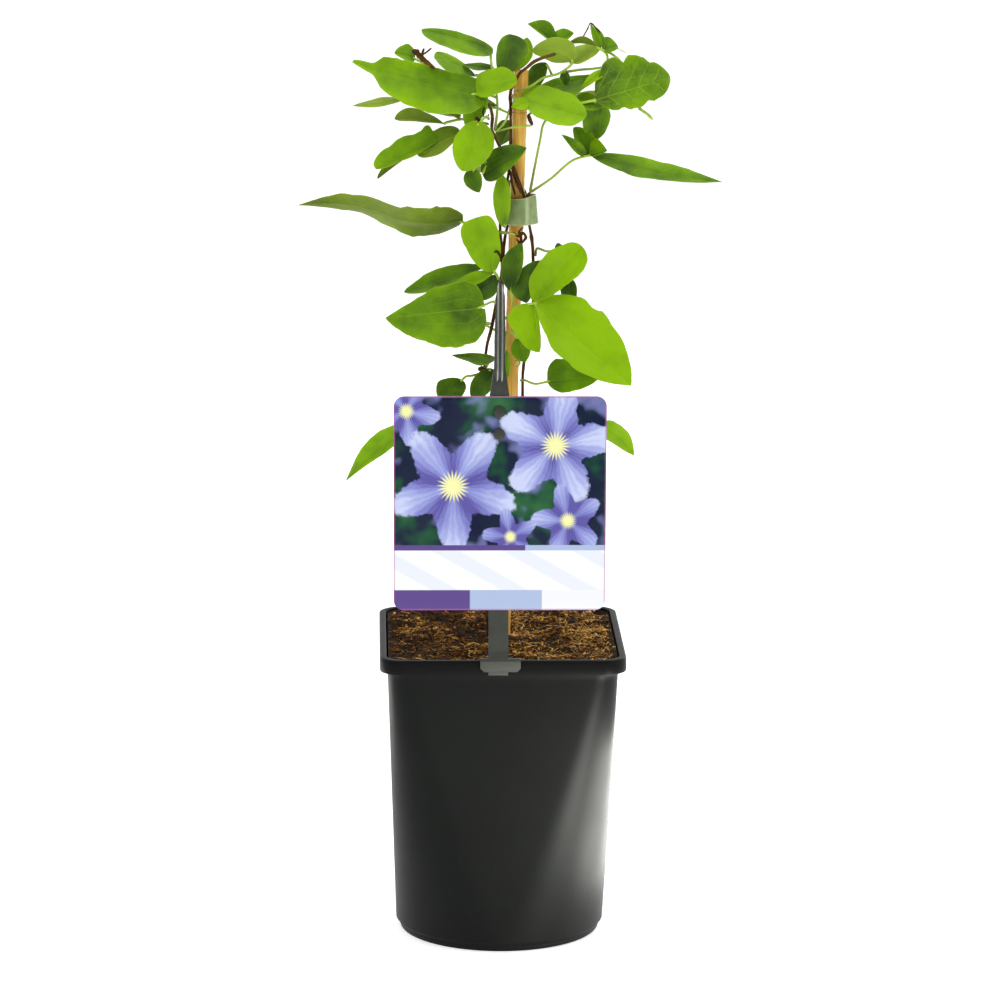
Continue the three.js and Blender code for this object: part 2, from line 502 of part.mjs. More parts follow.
// ---------------------------------------------------------------- leafy sprays
// Each spray is one piece: its leaf stalks and blades, starting beside the stem it grows from.
// A leaf's pair of widths is its left and its right half, seen from its top with the tip ahead.
const SPRAYS = {
  // a large leaf out to the left at the top, with smaller ones round its stalk
  spray_top_left: () => [
    stalk([-4.6, -8.3, 434], [-3.3, -6, 443], [-3.3, -4, 451], [-5.4, -1, 462], [-6.8, 1.4, 474.4]),
    stalk([-3.3, -4, 451], [-9, -6.4, 453], [-17, -9, 453.4]),
    stalk([-5.4, -1, 462], [-10, 4, 462], [-15, 6, 461.6]),
    leaf([-15, -9, 453], [-79, -26, 472], [16, 11], [0.3, -0.8, 0.5], {
      belly: [0.36, 0.3], taper: [0.8, 0.3], tail: 0.6, fold: 5, arch: -0.04, heart: 0.08,
    }),
    leaf([-14.4, -8.2, 455.2], [7, -13, 461], [11, 7], [0, -0.7, 0.7], {
      belly: 0.4, taper: 0.5, arch: 0,
    }),
    leaf([-10, -6.8, 454.4], [-18, -3, 434], [5, 8], [-0.3, -0.9, 0.2], { taper: 0.6, arch: 0 }),
    leaf([-5.4, 1.8, 474], [-43, -10, 487], [10, 4], [0.3, -0.7, 0.6], {
      belly: [0.55, 0.3], taper: 0.5,
    }),
    leaf([-14, 6, 461], [-35, 14, 473], [11, 4], [0, -0.4, 0.9], { belly: 0.6, taper: 0.6, arch: 0 }),
    leaf([-5, 0, 465.4], [-21, 10, 467], [5, 4], [0, -0.4, 0.9], { arch: 0 }),
  ],
  spray_top_centre: () => [
    stalk([2.6, -5.6, 456], [0.6, -4.8, 459], [-1, -3.4, 463]),
    stalk([0.6, -4.8, 459], [3, 2, 460], [5.6, 5.6, 464]),
    leaf([-1.4, -3, 462], [5, 7, 483], [6, 11], [0, -0.8, 0.6], { belly: 0.62, taper: 0.45, fold: 6 }),
    leaf([5, 6, 462.4], [13, 12, 481], [3, 6], [0.3, -0.9, 0.3], { belly: 0.6, taper: 0.7, fold: 6 }),
  ],
  // the young shoot that runs on to the right, over the top
  spray_crown: () => [
    stalk(
      [6.6, -7.4, 455], [13.9, -6, 457], [20.9, -1, 461], [30.1, 6, 463], [36.6, 9.4, 467.6],
      [36.4, 7.4, 470],
    ),
    stalk([36.4, 9.2, 467.4], [33, 13, 472], [26.8, 12.6, 478.2]),
    stalk(
      [30.1, 6, 463], [40.8, 12, 464], [49.3, 15, 464.4], [54.6, 14, 466], [55, 13, 472],
      [49.4, 10.6, 476.4],
    ),
    stalk([54, 12.4, 474], [58, 13, 472], [62, 12, 469]),
    stalk([25.8, 3, 462], [24.4, 8, 465], [23.2, 12, 467]),
    leaf([28, 13, 477.4], [13, 8, 488.6], [2, 8], [0, -0.7, 0.6], { belly: 0.5, fold: 20, arch: 0.08 }),
    leaf([28, 12.6, 477.8], [37.4, 12, 483.4], [6, 2], [0, -0.8, 0.6], {
      belly: 0.35, taper: 0.7, arch: 0,
    }),
    leaf([51, 11, 476], [33, 4, 478], [5, 2], [0, 0.6, 0.8], { belly: 0.6, fold: 10, arch: 0.12 }),
    leaf([38, 8, 469.4], [16, 0, 477], [11, 9], [0, 0.7, 0.7], { belly: 0.5, taper: 0.6, fold: 6 }),
    leaf([37, 9.2, 467.8], [52, 14, 476], [3, 9], [0, 0.6, -0.7], {
      belly: 0.45, taper: 0.7, fold: 6, arch: 0,
    }),
    leaf([23, 12, 467.6], [15, 16, 453], [4, 6], [0, -0.7, 0.4], { belly: 0.5, taper: 0.6, fold: 12 }),
    leaf([31.4, 7, 463.6], [34, 9, 456], [3, 4], [0, -0.6, 0.6], { fold: 20 }),
    leaf([51.6, 11.6, 475.4], [46, 10, 489], [2, 2], [-0.3, -0.6, 0.6], { fold: 24 }),
    leaf([53.6, 12.4, 474], [47, 13, 488], [1, 2], [0.3, -0.6, 0.6], { fold: 20, sway: -0.05 }),
    leaf([53, 12.4, 474], [61, 15, 476], [7, 3], [0.2, -0.6, 0.6], { taper: 0.6, fold: 16 }),
  ],
  // two stalks from just over the band: a broad veined leaf high up, a long one to the right
  spray_right: () => [
    stalk(
      [14.2, -5.6, 401], [16.9, -3, 415], [19.6, 0, 428], [22.2, 1, 438], [32.8, 2, 445], [51, -0.6, 450],
    ),
    stalk([14.2, -5.6, 401], [25.5, -1, 408], [37.2, 4, 417], [48, 5, 420]),
    stalk([44, 1, 448.6], [48, 4, 448], [51, 6.6, 445.6]),
    stalk([51, 6.6, 445.6], [55, 8, 455], [54, 8, 462.6]),
    leaf([49, -1, 449.4], [87, -12, 463], [20, 13], [-0.3, -0.8, 0.5], {
      belly: [0.4, 0.6], taper: [0.7, 0.4], fold: 8, arch: 0,
    }),
    leaf([51, 6, 446.6], [48, 12, 426], [7, 8], [0.1, -0.95, 0.2], {
      belly: 0.35, taper: 0.7, arch: 0,
    }),
    leaf([53, 8, 463], [15, 24, 450], [16, 5], [0, -0.6, 0.8], {
      belly: [0.5, 0.7], taper: 0.6, arch: 0,
    }),
    leaf([44, 5.6, 419], [31, 2, 431], [3, 3], [-0.2, -0.8, 0.5], { fold: 24 }),
    leaf([45, 6, 419.6], [38, 12, 433.6], [4, 7], [0.2, -0.8, 0.4], { fold: 16, taper: 0.6 }),
    leaf([46, 5, 420], [115.4, -14, 408], [8, 9], [0, -0.5, 0.85], {
      belly: 0.42, taper: 1.15, arch: -0.03,
    }),
    leaf([54, 5, 446], [38, 2, 448.6], [6, 6], [-0.1, -0.7, 0.7], { belly: 0.6, taper: 0.6, arch: 0 }),
    leaf([54.6, 6, 464], [41, 3, 455], [4, 3], [0, -0.6, 0.8], { fold: 24 }),
    leaf([46, 4.6, 420], [55, 0, 422.6], [8, 2], [0.2, -0.8, 0.5], { fold: 12, arch: 0 }),
  ],
  spray_front_high: () => [
    stalk([4.6, -7, 453], [5.8, -8.6, 451], [8.5, -9, 450], [12, -8.4, 450]),
    leaf([10, -8.4, 450.4], [43, -18, 443], [13, 11], [0, -0.7, 0.7], {
      belly: [0.4, 0.6], taper: 0.62, fold: 5, arch: -0.02, heart: 0.06,
    }),
    leaf([13, -10, 449.4], [4, -11.4, 447], [5, 4], [0, -0.7, 0.7], { fold: 14, arch: 0 }),
  ],
  // a leaf rolled along its length, one half lit and the other in shade
  spray_left_high: () => [
    stalk([-7.6, -8, 431], [-14.3, -6, 431.4], [-25, -2.4, 430.4]),
    leaf([-34, -2.6, 429], [-67, -16, 415], [4, 10], [-0.1, -0.8, 0.6], {
      belly: [0.5, 0.2], taper: [0.6, 0.35], fold: 6, arch: 0.03, wave: 0.12,
    }),
    leaf([-22, -2, 432.6], [-45, -6, 421], [9, 5], [-0.1, 0.7, -0.7], {
      belly: [0.4, 0.6], taper: 0.5, arch: 0,
    }),
    leaf([-43, -3, 424], [-66, -10, 409], [5, 2], [0.1, 0.6, 0.8], {
      belly: 0.55, taper: 0.5, arch: 0.04,
    }),
  ],
  // a long leaf nearly level with the eye, seen from below, curving down and up again
  spray_left_far: () => [
    stalk([3.4, -8, 380], [-1, -8.2, 380.6], [-9.4, -5.6, 381.6], [-23, -4.2, 385.8]),
    leaf([-21, -4, 386], [-108, -10, 395], [14, 14], [0, 0.6, 0.8], {
      belly: 0.28, taper: 1, fold: 5, arch: 0, bend: -0.04, wave: 0.14,
    }),
  ],
  spray_left_mid: () => [
    stalk([-1.9, -6.2, 353], [-2.8, -7, 357], [-5, -6.4, 360]),
    stalk([-2.8, -7, 357], [-5, -3, 358.6], [-11.4, 1.2, 360]),
    leaf([-5, -6.4, 359], [-14, -13, 389], [11, 9], [0.1, -0.9, -0.2], {
      belly: 0.72, taper: 0.22, arch: 0,
    }),
    leaf([-10, 1, 360], [-52, -2, 347.6], [8, 8], [-0.2, -0.5, 0.8], {
      belly: [0.62, 0.45], taper: 0.7, arch: 0,
    }),
    leaf([-4, -6.4, 359], [-27, -6, 350.8], [4, 4], [-0.2, -0.8, 0.6], {
      belly: 0.5, fold: 16, arch: 0,
    }),
    leaf([-3, -6.2, 357], [-16, -6.6, 347], [8, 3], [0, -0.95, 0.3], {
      belly: 0.5, taper: 0.5, arch: 0,
    }),
  ],
  spray_left_big: () => [
    stalk([-3.2, -6, 342], [-5, -9, 343.6], [-13.4, -14.6, 340.8]),
    leaf([-11.4, -14, 341], [-62, -30, 338.4], [20, 15], [0.2, -0.9, 0.38], {
      belly: [0.33, 0.22], taper: [0.8, 1.05], fold: 4, arch: 0, heart: 0.04,
    }),
  ],
  spray_left_low: () => [
    stalk([-9.8, -5, 305], [-15.5, -9, 304], [-19.2, -10, 303.6], [-22, -10.6, 301]),
    stalk([-9.8, -5, 305], [-8, -8, 309], [-5.4, -8.2, 313.4]),
    stalk([-9.8, -5, 305], [-8, -8.6, 306.6], [-5.8, -9.2, 307]),
    leaf([-4, -8, 313.6], [-27, -12, 315.6], [10, 3], [0, -0.4, 0.9], { arch: -0.02 }),
    leaf([-21, -10, 301.6], [-32.4, -16, 292], [8, 9], [-0.2, -0.6, 0.8], {
      belly: 0.52, taper: 0.45, fold: 4, arch: 0,
    }),
    leaf([-5, -9, 307.6], [-16, -13, 292], [6, 6], [0, -0.9, 0.3], {
      belly: 0.48, taper: 0.7, arch: 0,
    }),
  ],
  // a leaf of five leaflets in front of the cane
  spray_right_mid: () => [
    stalk([1, -7.6, 334], [6.5, -13, 339], [12, -16.6, 343], [18, -18, 344.4]),
    stalk([6.5, -13, 339], [5, -13.4, 344], [4.2, -13, 351]),
    leaf([4, -13, 349.6], [10, -10, 375], [8, 4], [-0.3, -0.9, 0.2], { belly: 0.5, taper: 0.8 }),
    leaf([12, -15.6, 344], [20, -12, 366], [11, 2], [-0.3, -0.9, 0.2], {
      belly: 0.36, taper: 0.7, arch: 0,
    }),
    leaf([16, -17, 344.4], [41, -19, 375], [12, 11], [-0.4, -0.8, 0.4], {
      belly: [0.52, 0.68], taper: [0.55, 0.4], arch: 0, bend: 0.02,
    }),
    leaf([16, -17, 344.4], [19, -24, 319], [2, 14], [0.1, -0.95, 0.2], {
      belly: [0.5, 0.3], taper: 0.6, fold: 5, arch: 0,
    }),
    leaf([17, -18, 344], [67, -34, 303], [20, 14], [0.1, -0.9, 0.45], {
      belly: [0.42, 0.5], taper: [0.8, 1], fold: 7, arch: 0,
    }),
  ],
  spray_right_back: () => [
    stalk(
      [17.6, 2.6, 366], [18.5, 3.6, 370], [23.3, 4, 368.6], [28.7, 6, 368], [32.6, 9, 362],
      [35.6, 8, 351.4],
    ),
    leaf([35.4, 8, 353], [37.4, 7, 339.6], [4, 5], [-0.1, -0.95, 0.2], { taper: 0.6, arch: 0 }),
    leaf([28, 6, 368.4], [39, 14, 362], [7, 7], [0.2, -0.5, 0.8]),
  ],
  spray_right_low: () => [
    stalk([10, -1.4, 300], [12, -4, 300.6], [17.5, -6, 299], [25.6, -6.6, 300.6]),
    leaf([24, -6, 300.4], [53, -14, 305], [12, 9], [-0.2, -0.8, 0.6], { belly: [0.26, 0.42], arch: 0 }),
  ],
  spray_cane_low: () => [
    stalk([1.6, -7.6, 327], [5, -9, 327], [8.2, -9.2, 323.4]),
    stalk([1.6, -7.6, 327], [1.6, -9, 322], [1.4, -8.8, 315]),
    leaf([8, -9, 325], [12, -12, 311.4], [5, 6], [0, -0.95, 0.3], { belly: 0.5 }),
    leaf([1.5, -9, 318], [3, -10, 303], [3, 3], [-0.3, -0.9, 0.2], { fold: 20 }),
  ],
  spray_band: () => [
    stalk([-0.8, -8, 386], [0.4, -9.2, 384], [1, -9.6, 385]),
    leaf([1, -9.5, 383], [-1, -12, 411.6], [5, 5], [-0.2, -0.9, 0.3], {
      fold: 16, belly: [0.5, 0.6], taper: 0.6,
    }),
  ],
  spray_centre: () => [
    stalk([-7.6, -6.8, 440], [-9.2, -12, 442], [-14, -15.8, 437.6]),
    leaf([-13.6, -15.6, 438.6], [-21.6, -22, 414.6], [12, 9], [-0.2, -0.9, 0.3], {
      belly: [0.42, 0.46], taper: 0.62, fold: 6, arch: 0, heart: 0.06,
    }),
  ],
  spray_centre_low: () => [
    stalk([-1.6, -9, 423], [-7.5, -10, 418], [-11, -12, 411.6]),
    stalk([-7.5, -10, 418], [-13, -11, 417], [-16, -11, 413]),
    leaf([-11, -12, 411.6], [12, -15, 426], [9, 8], [-0.2, -0.8, 0.6], {
      belly: [0.38, 0.24], taper: 0.8, arch: 0,
    }),
    leaf([-17, -11, 414.4], [-12.6, -12, 402], [4, 6], [0, -1, 0.2], { taper: 0.8, arch: 0 }),
  ],
  // slim leaves that show behind the big one at the top left
  spray_left_behind: () => [
    stalk([-7.4, -3.6, 437], [-14.2, 0, 438], [-21.4, 6, 438.4], [-31, 6, 436.4]),
    stalk([-21.4, 6, 438.4], [-38.3, 6, 446], [-53.6, 3, 449.4]),
    stalk([-17.3, 3, 438.2], [-24, 11, 450], [-33, 12, 462], [-47.6, 6, 471]),
    stalk([-36, 11, 464], [-42, 9, 471], [-46, 6, 475]),
    leaf([-52, 3, 449.4], [-79, 0, 446], [5, 3], [0.1, 0.5, -0.85], { belly: 0.45, fold: 8, arch: 0 }),
    leaf([-30, 6, 435.8], [-57, 2, 439.4], [8, 3], [0, 0.7, 0.7], {
      belly: 0.7, taper: 0.5, arch: 0.04,
    }),
    leaf([-22, 6, 440], [-43, 4, 444], [5, 5], [0, 0.5, 0.85], { fold: 12, arch: 0 }),
    leaf([-46.4, 6, 470], [-57, 4, 473.6], [4, 7], [0, -0.7, 0.7], { taper: 0.6, fold: 12 }),
  ],
  spray_low_left: () => [
    stalk([-10, -4.8, 291], [-27.8, -20, 289], [-49, -31.4, 280]),
    leaf([-47, -30, 281], [-83, -50, 255], [6, 8], [-0.2, -0.6, 0.75], { fold: 18, taper: 1.1 }),
  ],
  spray_low_right: () => [
    stalk([12.6, -0.6, 289], [30.3, -20, 287], [51, -37, 282]),
    leaf([49, -35, 283], [68, -52, 269], [8, 7], [0.2, -0.6, 0.75], { fold: 12 }),
  ],
  // the far side of the plant
  spray_back_left: () => [
    stalk([10, 8.8, 436], [4, 18, 440], [-8, 26, 444]),
    stalk([4, 18, 440], [6, 30, 436], [8, 38, 433]),
    leaf([-6, 25, 443.6], [-44, 36, 446], [12, 12], [-0.1, 0.35, 0.93], { heart: 0.1 }),
    leaf([-4, 23, 443], [-22, 52, 436], [10, 11], [0, 0.6, 0.8]),
    leaf([7, 35, 434], [0, 42, 420], [7, 7], [-0.2, 0.9, 0.4]),
  ],
  spray_back_right: () => [
    stalk([13.4, 8.4, 440], [20, 20, 444], [32, 30, 446]),
    leaf([30, 28.6, 446], [60, 42, 442], [11, 11], [0.1, 0.4, 0.9], { heart: 0.1 }),
    leaf([28, 27, 445.6], [34, 56, 434], [9, 10], [0.1, 0.7, 0.7]),
  ],
  spray_back_middle: () => [
    stalk([10.8, 8.4, 405], [8, 20, 404], [0, 32, 402]),
    leaf([2, 30, 401.6], [-14, 46, 406], [10, 10], [-0.2, 0.6, 0.8], { heart: 0.1 }),
    leaf([5, 24, 403], [9, 38, 374], [8, 8], [0.1, 0.9, 0.4]),
  ],
  spray_back_low_left: () => [
    stalk([5.4, 8.6, 318], [-4, 20, 324], [-16, 28, 328]),
    stalk([-4, 20, 324], [2, 32, 320], [5, 38, 317]),
    leaf([-14, 27, 327.4], [-50, 40, 326], [13, 13], [-0.1, 0.5, 0.86], { heart: 0.1 }),
    leaf([-12, 26, 327], [-22, 56, 312], [10, 11], [-0.1, 0.75, 0.66]),
    leaf([4, 35, 318.4], [15, 62, 302], [9, 9], [0, 0.8, 0.6], { heart: 0.1 }),
  ],
  spray_back_low_right: () => [
    stalk([9.8, 8.4, 330], [18, 18, 334], [28, 26, 336]),
    leaf([26, 24.6, 335.6], [51, 42, 320], [12, 12], [0.1, 0.5, 0.86], { heart: 0.1 }),
    leaf([24, 23, 335], [30, 54, 318], [11, 11], [0.1, 0.75, 0.66]),
  ],
  spray_back_foot: () => [
    stalk([6, 9.8, 270], [10, 22, 268], [12, 32, 262]),
    leaf([11.6, 30, 263], [34, 50, 246], [10, 10], [0.2, 0.7, 0.7]),
    leaf([11.6, 28, 264], [-8, 56, 248], [11, 11], [-0.1, 0.75, 0.66], { heart: 0.1 }),
  ],
};

// ---------------------------------------------------------------- the plant in its pot
const plastic = material(0x232523, 0.42);
const earth = material(0x4a2c16, 0.95);
const bamboo = material(0xc9924e, 0.55);
const bark = material(0x5a3018, 0.7);
const green = material(0x6e9b23, 0.5);

const stems = Object.entries(STEMS);
const pieces = [
  ['pot', pot(), plastic],
  ['soil', soil(stems.map(([, course]) => footOf(course))), earth],
  ['cane', cane(), bamboo],
  ['cane_band', caneBand(), material(0x768a58, 0.5)],
  ['label_panel', labelPanel(), material(0xb8c7e4, 0.3)],
  ['label_stake', labelStake(), material(0x464b44, 0.45)],
  ['stake_tongue', stakeTongue(), material(0x9aa2a0, 0.2, { transparent: true, opacity: 0.5 })],
  ...stems.map(([name, course]) => [name, stem(course), bark]),
  ...Object.entries(SPRAYS).map(([name, grow]) => [name, union(grow()), green]),
];

const group = new THREE.Group();
pieces.forEach(([name, solid, finish]) => group.add(toMesh(name, solid, finish)));

export default group;
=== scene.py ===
# The look of a young clematis in its nursery pot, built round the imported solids.
# Places are listed in millimetres, and each mesh is scaled to metres as it is made.
import math

import bpy
import numpy as np
from mathutils import Matrix, Vector


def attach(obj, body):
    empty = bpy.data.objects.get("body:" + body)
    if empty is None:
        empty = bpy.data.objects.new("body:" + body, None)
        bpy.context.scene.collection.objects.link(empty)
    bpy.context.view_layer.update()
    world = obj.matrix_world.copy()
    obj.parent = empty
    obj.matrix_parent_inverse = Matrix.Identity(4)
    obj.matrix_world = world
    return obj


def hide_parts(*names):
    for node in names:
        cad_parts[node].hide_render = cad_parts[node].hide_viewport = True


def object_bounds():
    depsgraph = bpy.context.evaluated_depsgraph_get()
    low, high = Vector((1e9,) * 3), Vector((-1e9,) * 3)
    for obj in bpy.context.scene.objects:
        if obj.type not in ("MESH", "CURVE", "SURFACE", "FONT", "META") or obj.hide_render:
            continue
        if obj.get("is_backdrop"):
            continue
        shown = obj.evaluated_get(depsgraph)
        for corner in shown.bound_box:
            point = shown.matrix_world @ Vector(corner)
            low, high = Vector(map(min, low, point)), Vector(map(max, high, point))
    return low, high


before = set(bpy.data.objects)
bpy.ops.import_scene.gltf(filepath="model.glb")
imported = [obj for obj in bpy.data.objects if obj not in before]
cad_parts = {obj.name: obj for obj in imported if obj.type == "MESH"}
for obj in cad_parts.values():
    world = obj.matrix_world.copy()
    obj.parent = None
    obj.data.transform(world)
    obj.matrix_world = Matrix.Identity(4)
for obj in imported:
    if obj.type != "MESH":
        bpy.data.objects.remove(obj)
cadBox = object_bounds()
mm = 0.001
print("frame loaded with", len(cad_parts), "nodes")

# camera, lights and floor

studio = {
    "azimuth": -1.66, "elevation": 11.56, "roll": 0.28, "distance": 2.477,
    "target": (-0.000575, 0, 0.23485), "lens": 166.8, "sensor": 36, "farthest": 100,
    "floorSize": 60, "floorLevel": -0.0002, "floorColour": (0.86, 0.86, 0.85, 1),
    "floorGlow": 0.55, "glossColour": (1, 0.99, 0.93), "backdrop": 1.0, "skyFront": 0.3,
    "skyBehind": 1.15, "fadeBehind": (-0.1, 0.9), "skyRight": 0.8, "fadeRight": (0.2, 0.9),
}
# name, place, what it faces, width, height, power
lamps = [
    ("keyLamp", (-0.9, -1.3, 1.7), (0, 0, 0.3), 0.9, 0.9, 14),
    ("topLamp", (0.3, -0.1, 1.9), (0, 0, 0.3), 1.1, 1.1, 13),
    ("rightLamp", (1.0, 1.75, 0.35), (0, 0, 0.1), 0.6, 1.0, 16),
    ("leftLamp", (-1.0, 1.75, 0.4), (0, 0, 0.12), 0.25, 1.0, 9),
]
# low strips that only show as a gloss on the pot
strips = [
    ("stripFront", (0.1, -0.145, 0.048), (0, -0.145, 0.048), 0.09, 0.09, 0.85),
    ("stripSide", (0.1, -0.05, 0.048), (0, -0.05, 0.048), 0.055, 0.09, 0.25),
    ("stripRight", (0.1, 0.035, 0.048), (0, 0.035, 0.048), 0.12, 0.09, 0.27),
    ("stripLeft", (-0.19, 0.087, 0.08), (-0.049, -0.024, 0.11), 0.05, 0.06, 0.06),
]


def newObject(name, data):
    made = bpy.data.objects.new(name, data)
    bpy.context.collection.objects.link(made)
    return made


def placeCamera(look):
    azimuth, elevation, roll = (math.radians(look[k]) for k in ("azimuth", "elevation", "roll"))
    back = Vector((math.sin(azimuth) * math.cos(elevation),
                   -math.cos(azimuth) * math.cos(elevation), math.sin(elevation)))
    level = Vector((math.cos(azimuth), math.sin(azimuth), 0))
    upright = back.cross(level)
    right = level * math.cos(roll) + upright * math.sin(roll)
    up = upright * math.cos(roll) - level * math.sin(roll)
    camera = newObject("camera", bpy.data.cameras.new("camera"))
    camera.matrix_world = Matrix((right, up, back)).transposed().to_4x4()
    camera.location = Vector(look["target"]) + back * look["distance"]
    camera.data.sensor_fit = "HORIZONTAL"
    camera.data.sensor_width = look["sensor"]
    camera.data.lens = look["lens"]
    camera.data.clip_end = look["farthest"]
    bpy.context.scene.camera = camera


def placeLamp(name, place, aim, width, height, power, glossOnly=False):
    lamp = newObject(name, bpy.data.lights.new(name, "AREA"))
    lamp.data.shape = "RECTANGLE"
    lamp.data.size = width
    lamp.data.size_y = height
    lamp.data.energy = power
    lamp.location = place
    lamp.rotation_euler = (Vector(aim) - Vector(place)).to_track_quat("-Z", "Y").to_euler()
    lamp.visible_camera = False
    if glossOnly:
        lamp.visible_diffuse = False
        lamp.data.color = studio["glossColour"]


# one output of a node, which takes part in sums and products as a number does
class Value:
    def __init__(self, wiring, socket):
        self.wiring = wiring
        self.socket = socket

    def __add__(self, other):
        return self.wiring.calc("ADD", self, other)

    def __sub__(self, other):
        return self.wiring.calc("SUBTRACT", self, other)

    def __rsub__(self, other):
        return self.wiring.calc("SUBTRACT", other, self)

    def __mul__(self, other):
        return self.wiring.calc("MULTIPLY", self, other)

    def __truediv__(self, other):
        return self.wiring.calc("DIVIDE", self, other)


# short calls for a node tree: what an input is given is a number, a colour or a Value
class Wiring:
    def __init__(self, owner):
        owner.use_nodes = True
        self.tree = owner.node_tree
        self.tree.nodes.clear()

    def node(self, kind, inputs=(), **settings):
        made = self.tree.nodes.new(kind)
        for name, value in settings.items():
            setattr(made, name, value)
        for key, value in dict(inputs).items():
            if isinstance(value, Value):
                self.tree.links.new(value.socket, made.inputs[key])
            else:
                made.inputs[key].default_value = value
        return made

    def value(self, kind, inputs=(), output=0, **settings):
        return Value(self, self.node(kind, inputs, **settings).outputs[output])

    def calc(self, operation, *values):
        return self.value("ShaderNodeMath", enumerate(values), operation=operation)

    # 0 at low and 1 at high, with a soft start and end; low may be the larger
    def ramp(self, value, low, high, top=1.0):
        inputs = {"Value": value, "From Min": low, "From Max": high, "To Max": top}
        return self.value("ShaderNodeMapRange", inputs, "Result", interpolation_type="SMOOTHSTEP")

    def blend(self, factor, first, second, kind="MIX"):
        inputs = {0: factor, 6: first, 7: second}
        return self.value("ShaderNodeMix", inputs, 2, data_type="RGBA", blend_type=kind)

    def split(self, vector):
        made = self.node("ShaderNodeSeparateXYZ", {0: vector})
        return [Value(self, made.outputs[i]) for i in range(3)]

    def join(self, x, y, z):
        return self.value("ShaderNodeCombineXYZ", {0: x, 1: y, 2: z})

    def tag(self, name):
        return self.value("ShaderNodeAttribute", output="Vector", attribute_name=name)

    def place(self):
        return self.value("ShaderNodeTexCoord", output="Object")

    def stretch(self, vector, *scale):
        return self.value("ShaderNodeMapping", {"Vector": vector, "Scale": scale})

    def noise(self, vector, scale, detail=3.0, rough=0.5):
        inputs = {"Vector": vector, "Scale": scale, "Detail": detail, "Roughness": rough}
        return self.value("ShaderNodeTexNoise", inputs, "Fac")

    def cells(self, vector, scale, feature="F1"):
        inputs = {"Vector": vector, "Scale": scale}
        return self.value("ShaderNodeTexVoronoi", inputs, "Distance", feature=feature)

    def colours(self, value, *stops):
        made = self.node("ShaderNodeValToRGB", {"Fac": value})
        ramp = made.color_ramp
        while len(ramp.elements) < len(stops):
            ramp.elements.new(0.5)
        for element, (position, colour) in zip(ramp.elements, stops):
            element.position = position
            element.color = colour
        return Value(self, made.outputs["Color"])

    # a bump is a height, its strength and its distance
    def skin(self, colour, rough, gloss, bump=(), more=()):
        inputs = {"Base Color": colour, "Roughness": rough, "Specular IOR Level": gloss}
        if bump:
            heights = dict(zip(("Height", "Strength", "Distance"), bump))
            inputs["Normal"] = self.value("ShaderNodeBump", heights)
        return self.value("ShaderNodeBsdfPrincipled", {**inputs, **dict(more)})


# a material by its recipe, which is given an empty node tree and hands back the shader
def newMaterial(name, recipe):
    material = bpy.data.materials.new(name)
    w = Wiring(material)
    w.node("ShaderNodeOutputMaterial", {"Surface": recipe(w)})
    return material


# a colour given as red, green and blue from 0 to 255, as a screen shows it
def tint(*levels):
    return (*[(c / 255 / 12.92) if c <= 10 else ((c / 255 + 0.055) / 1.055) ** 2.4
              for c in levels], 1)


def lightTheSky(look):
    world = bpy.data.worlds.new("studioSky")
    bpy.context.scene.world = world
    w = Wiring(world)
    x, y, _ = w.split(w.value("ShaderNodeTexCoord", output="Generated"))
    behind = w.ramp(y, *look["fadeBehind"], look["skyBehind"] - look["skyFront"])
    glow = behind + look["skyFront"] + w.ramp(x, *look["fadeRight"], look["skyRight"])
    seen = w.value("ShaderNodeLightPath", output="Is Camera Ray")
    strength = w.value("ShaderNodeMix", {0: seen, 2: glow, 3: look["backdrop"]})
    sky = w.value("ShaderNodeBackground", {"Color": (1, 1, 1, 1), "Strength": strength})
    w.node("ShaderNodeOutputWorld", {"Surface": sky})


def layFloor(look):
    half = look["floorSize"] / 2
    mesh = bpy.data.meshes.new("floor")
    corners = [(-half, -half), (half, -half), (half, half), (-half, half)]
    mesh.from_pydata([(x, y, look["floorLevel"]) for x, y in corners], [], [(0, 1, 2, 3)])
    floor = newObject("floor", mesh)
    glow = {"Emission Color": (1, 1, 1, 1), "Emission Strength": look["floorGlow"]}
    paint = lambda w: w.skin(look["floorColour"], 0.9, 0.1, more=glow)
    mesh.materials.append(newMaterial("floorPaint", paint))
    floor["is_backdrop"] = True


placeCamera(studio)
for lamp in lamps:
    placeLamp(*lamp)
for strip in strips:
    placeLamp(*strip, glossOnly=True)
lightTheSky(studio)
layFloor(studio)
bpy.context.scene.view_settings.view_transform = "Standard"
print("studio ready")

# surfaces: a part is its points, its four-cornered faces, and its tags, three numbers a point


# faces of a skin through rings of an even count of points, each end closed across its ring
def ringFaces(rings, count):
    base = np.arange(rings - 1)[:, None] * count
    i = np.arange(count)[None, :]
    j = (i + 1) % count
    side = np.stack([base + i, base + j, base + count + j, base + count + i], -1).reshape(-1, 4)
    k = np.arange(count // 2 - 1)
    low = np.stack([k, count - 1 - k, count - 2 - k, k + 1], -1)
    high = (rings - 1) * count + np.stack([k, k + 1, count - 2 - k, count - 1 - k], -1)
    return np.concatenate([side, low, high])


# faces of a net whose rows close on each other and whose columns do too
def hoopFaces(rows, columns):
    i, j = np.meshgrid(np.arange(rows), np.arange(columns), indexing="ij")
    down, on = (i + 1) % rows, (j + 1) % columns
    at = lambda a, b: a * columns + b
    return np.stack([at(i, j), at(down, j), at(down, on), at(i, on)], -1).reshape(-1, 4)


# faces of many like parts, each with the given count of points
def repeated(faces, points, count):
    return (faces[None] + points * np.arange(count)[:, None, None]).reshape(-1, 4)


# lists of the values of every point, spread to one shape and laid side by side
def listed(*values):
    return np.stack([spread.ravel() for spread in np.broadcast_arrays(*values)], -1)


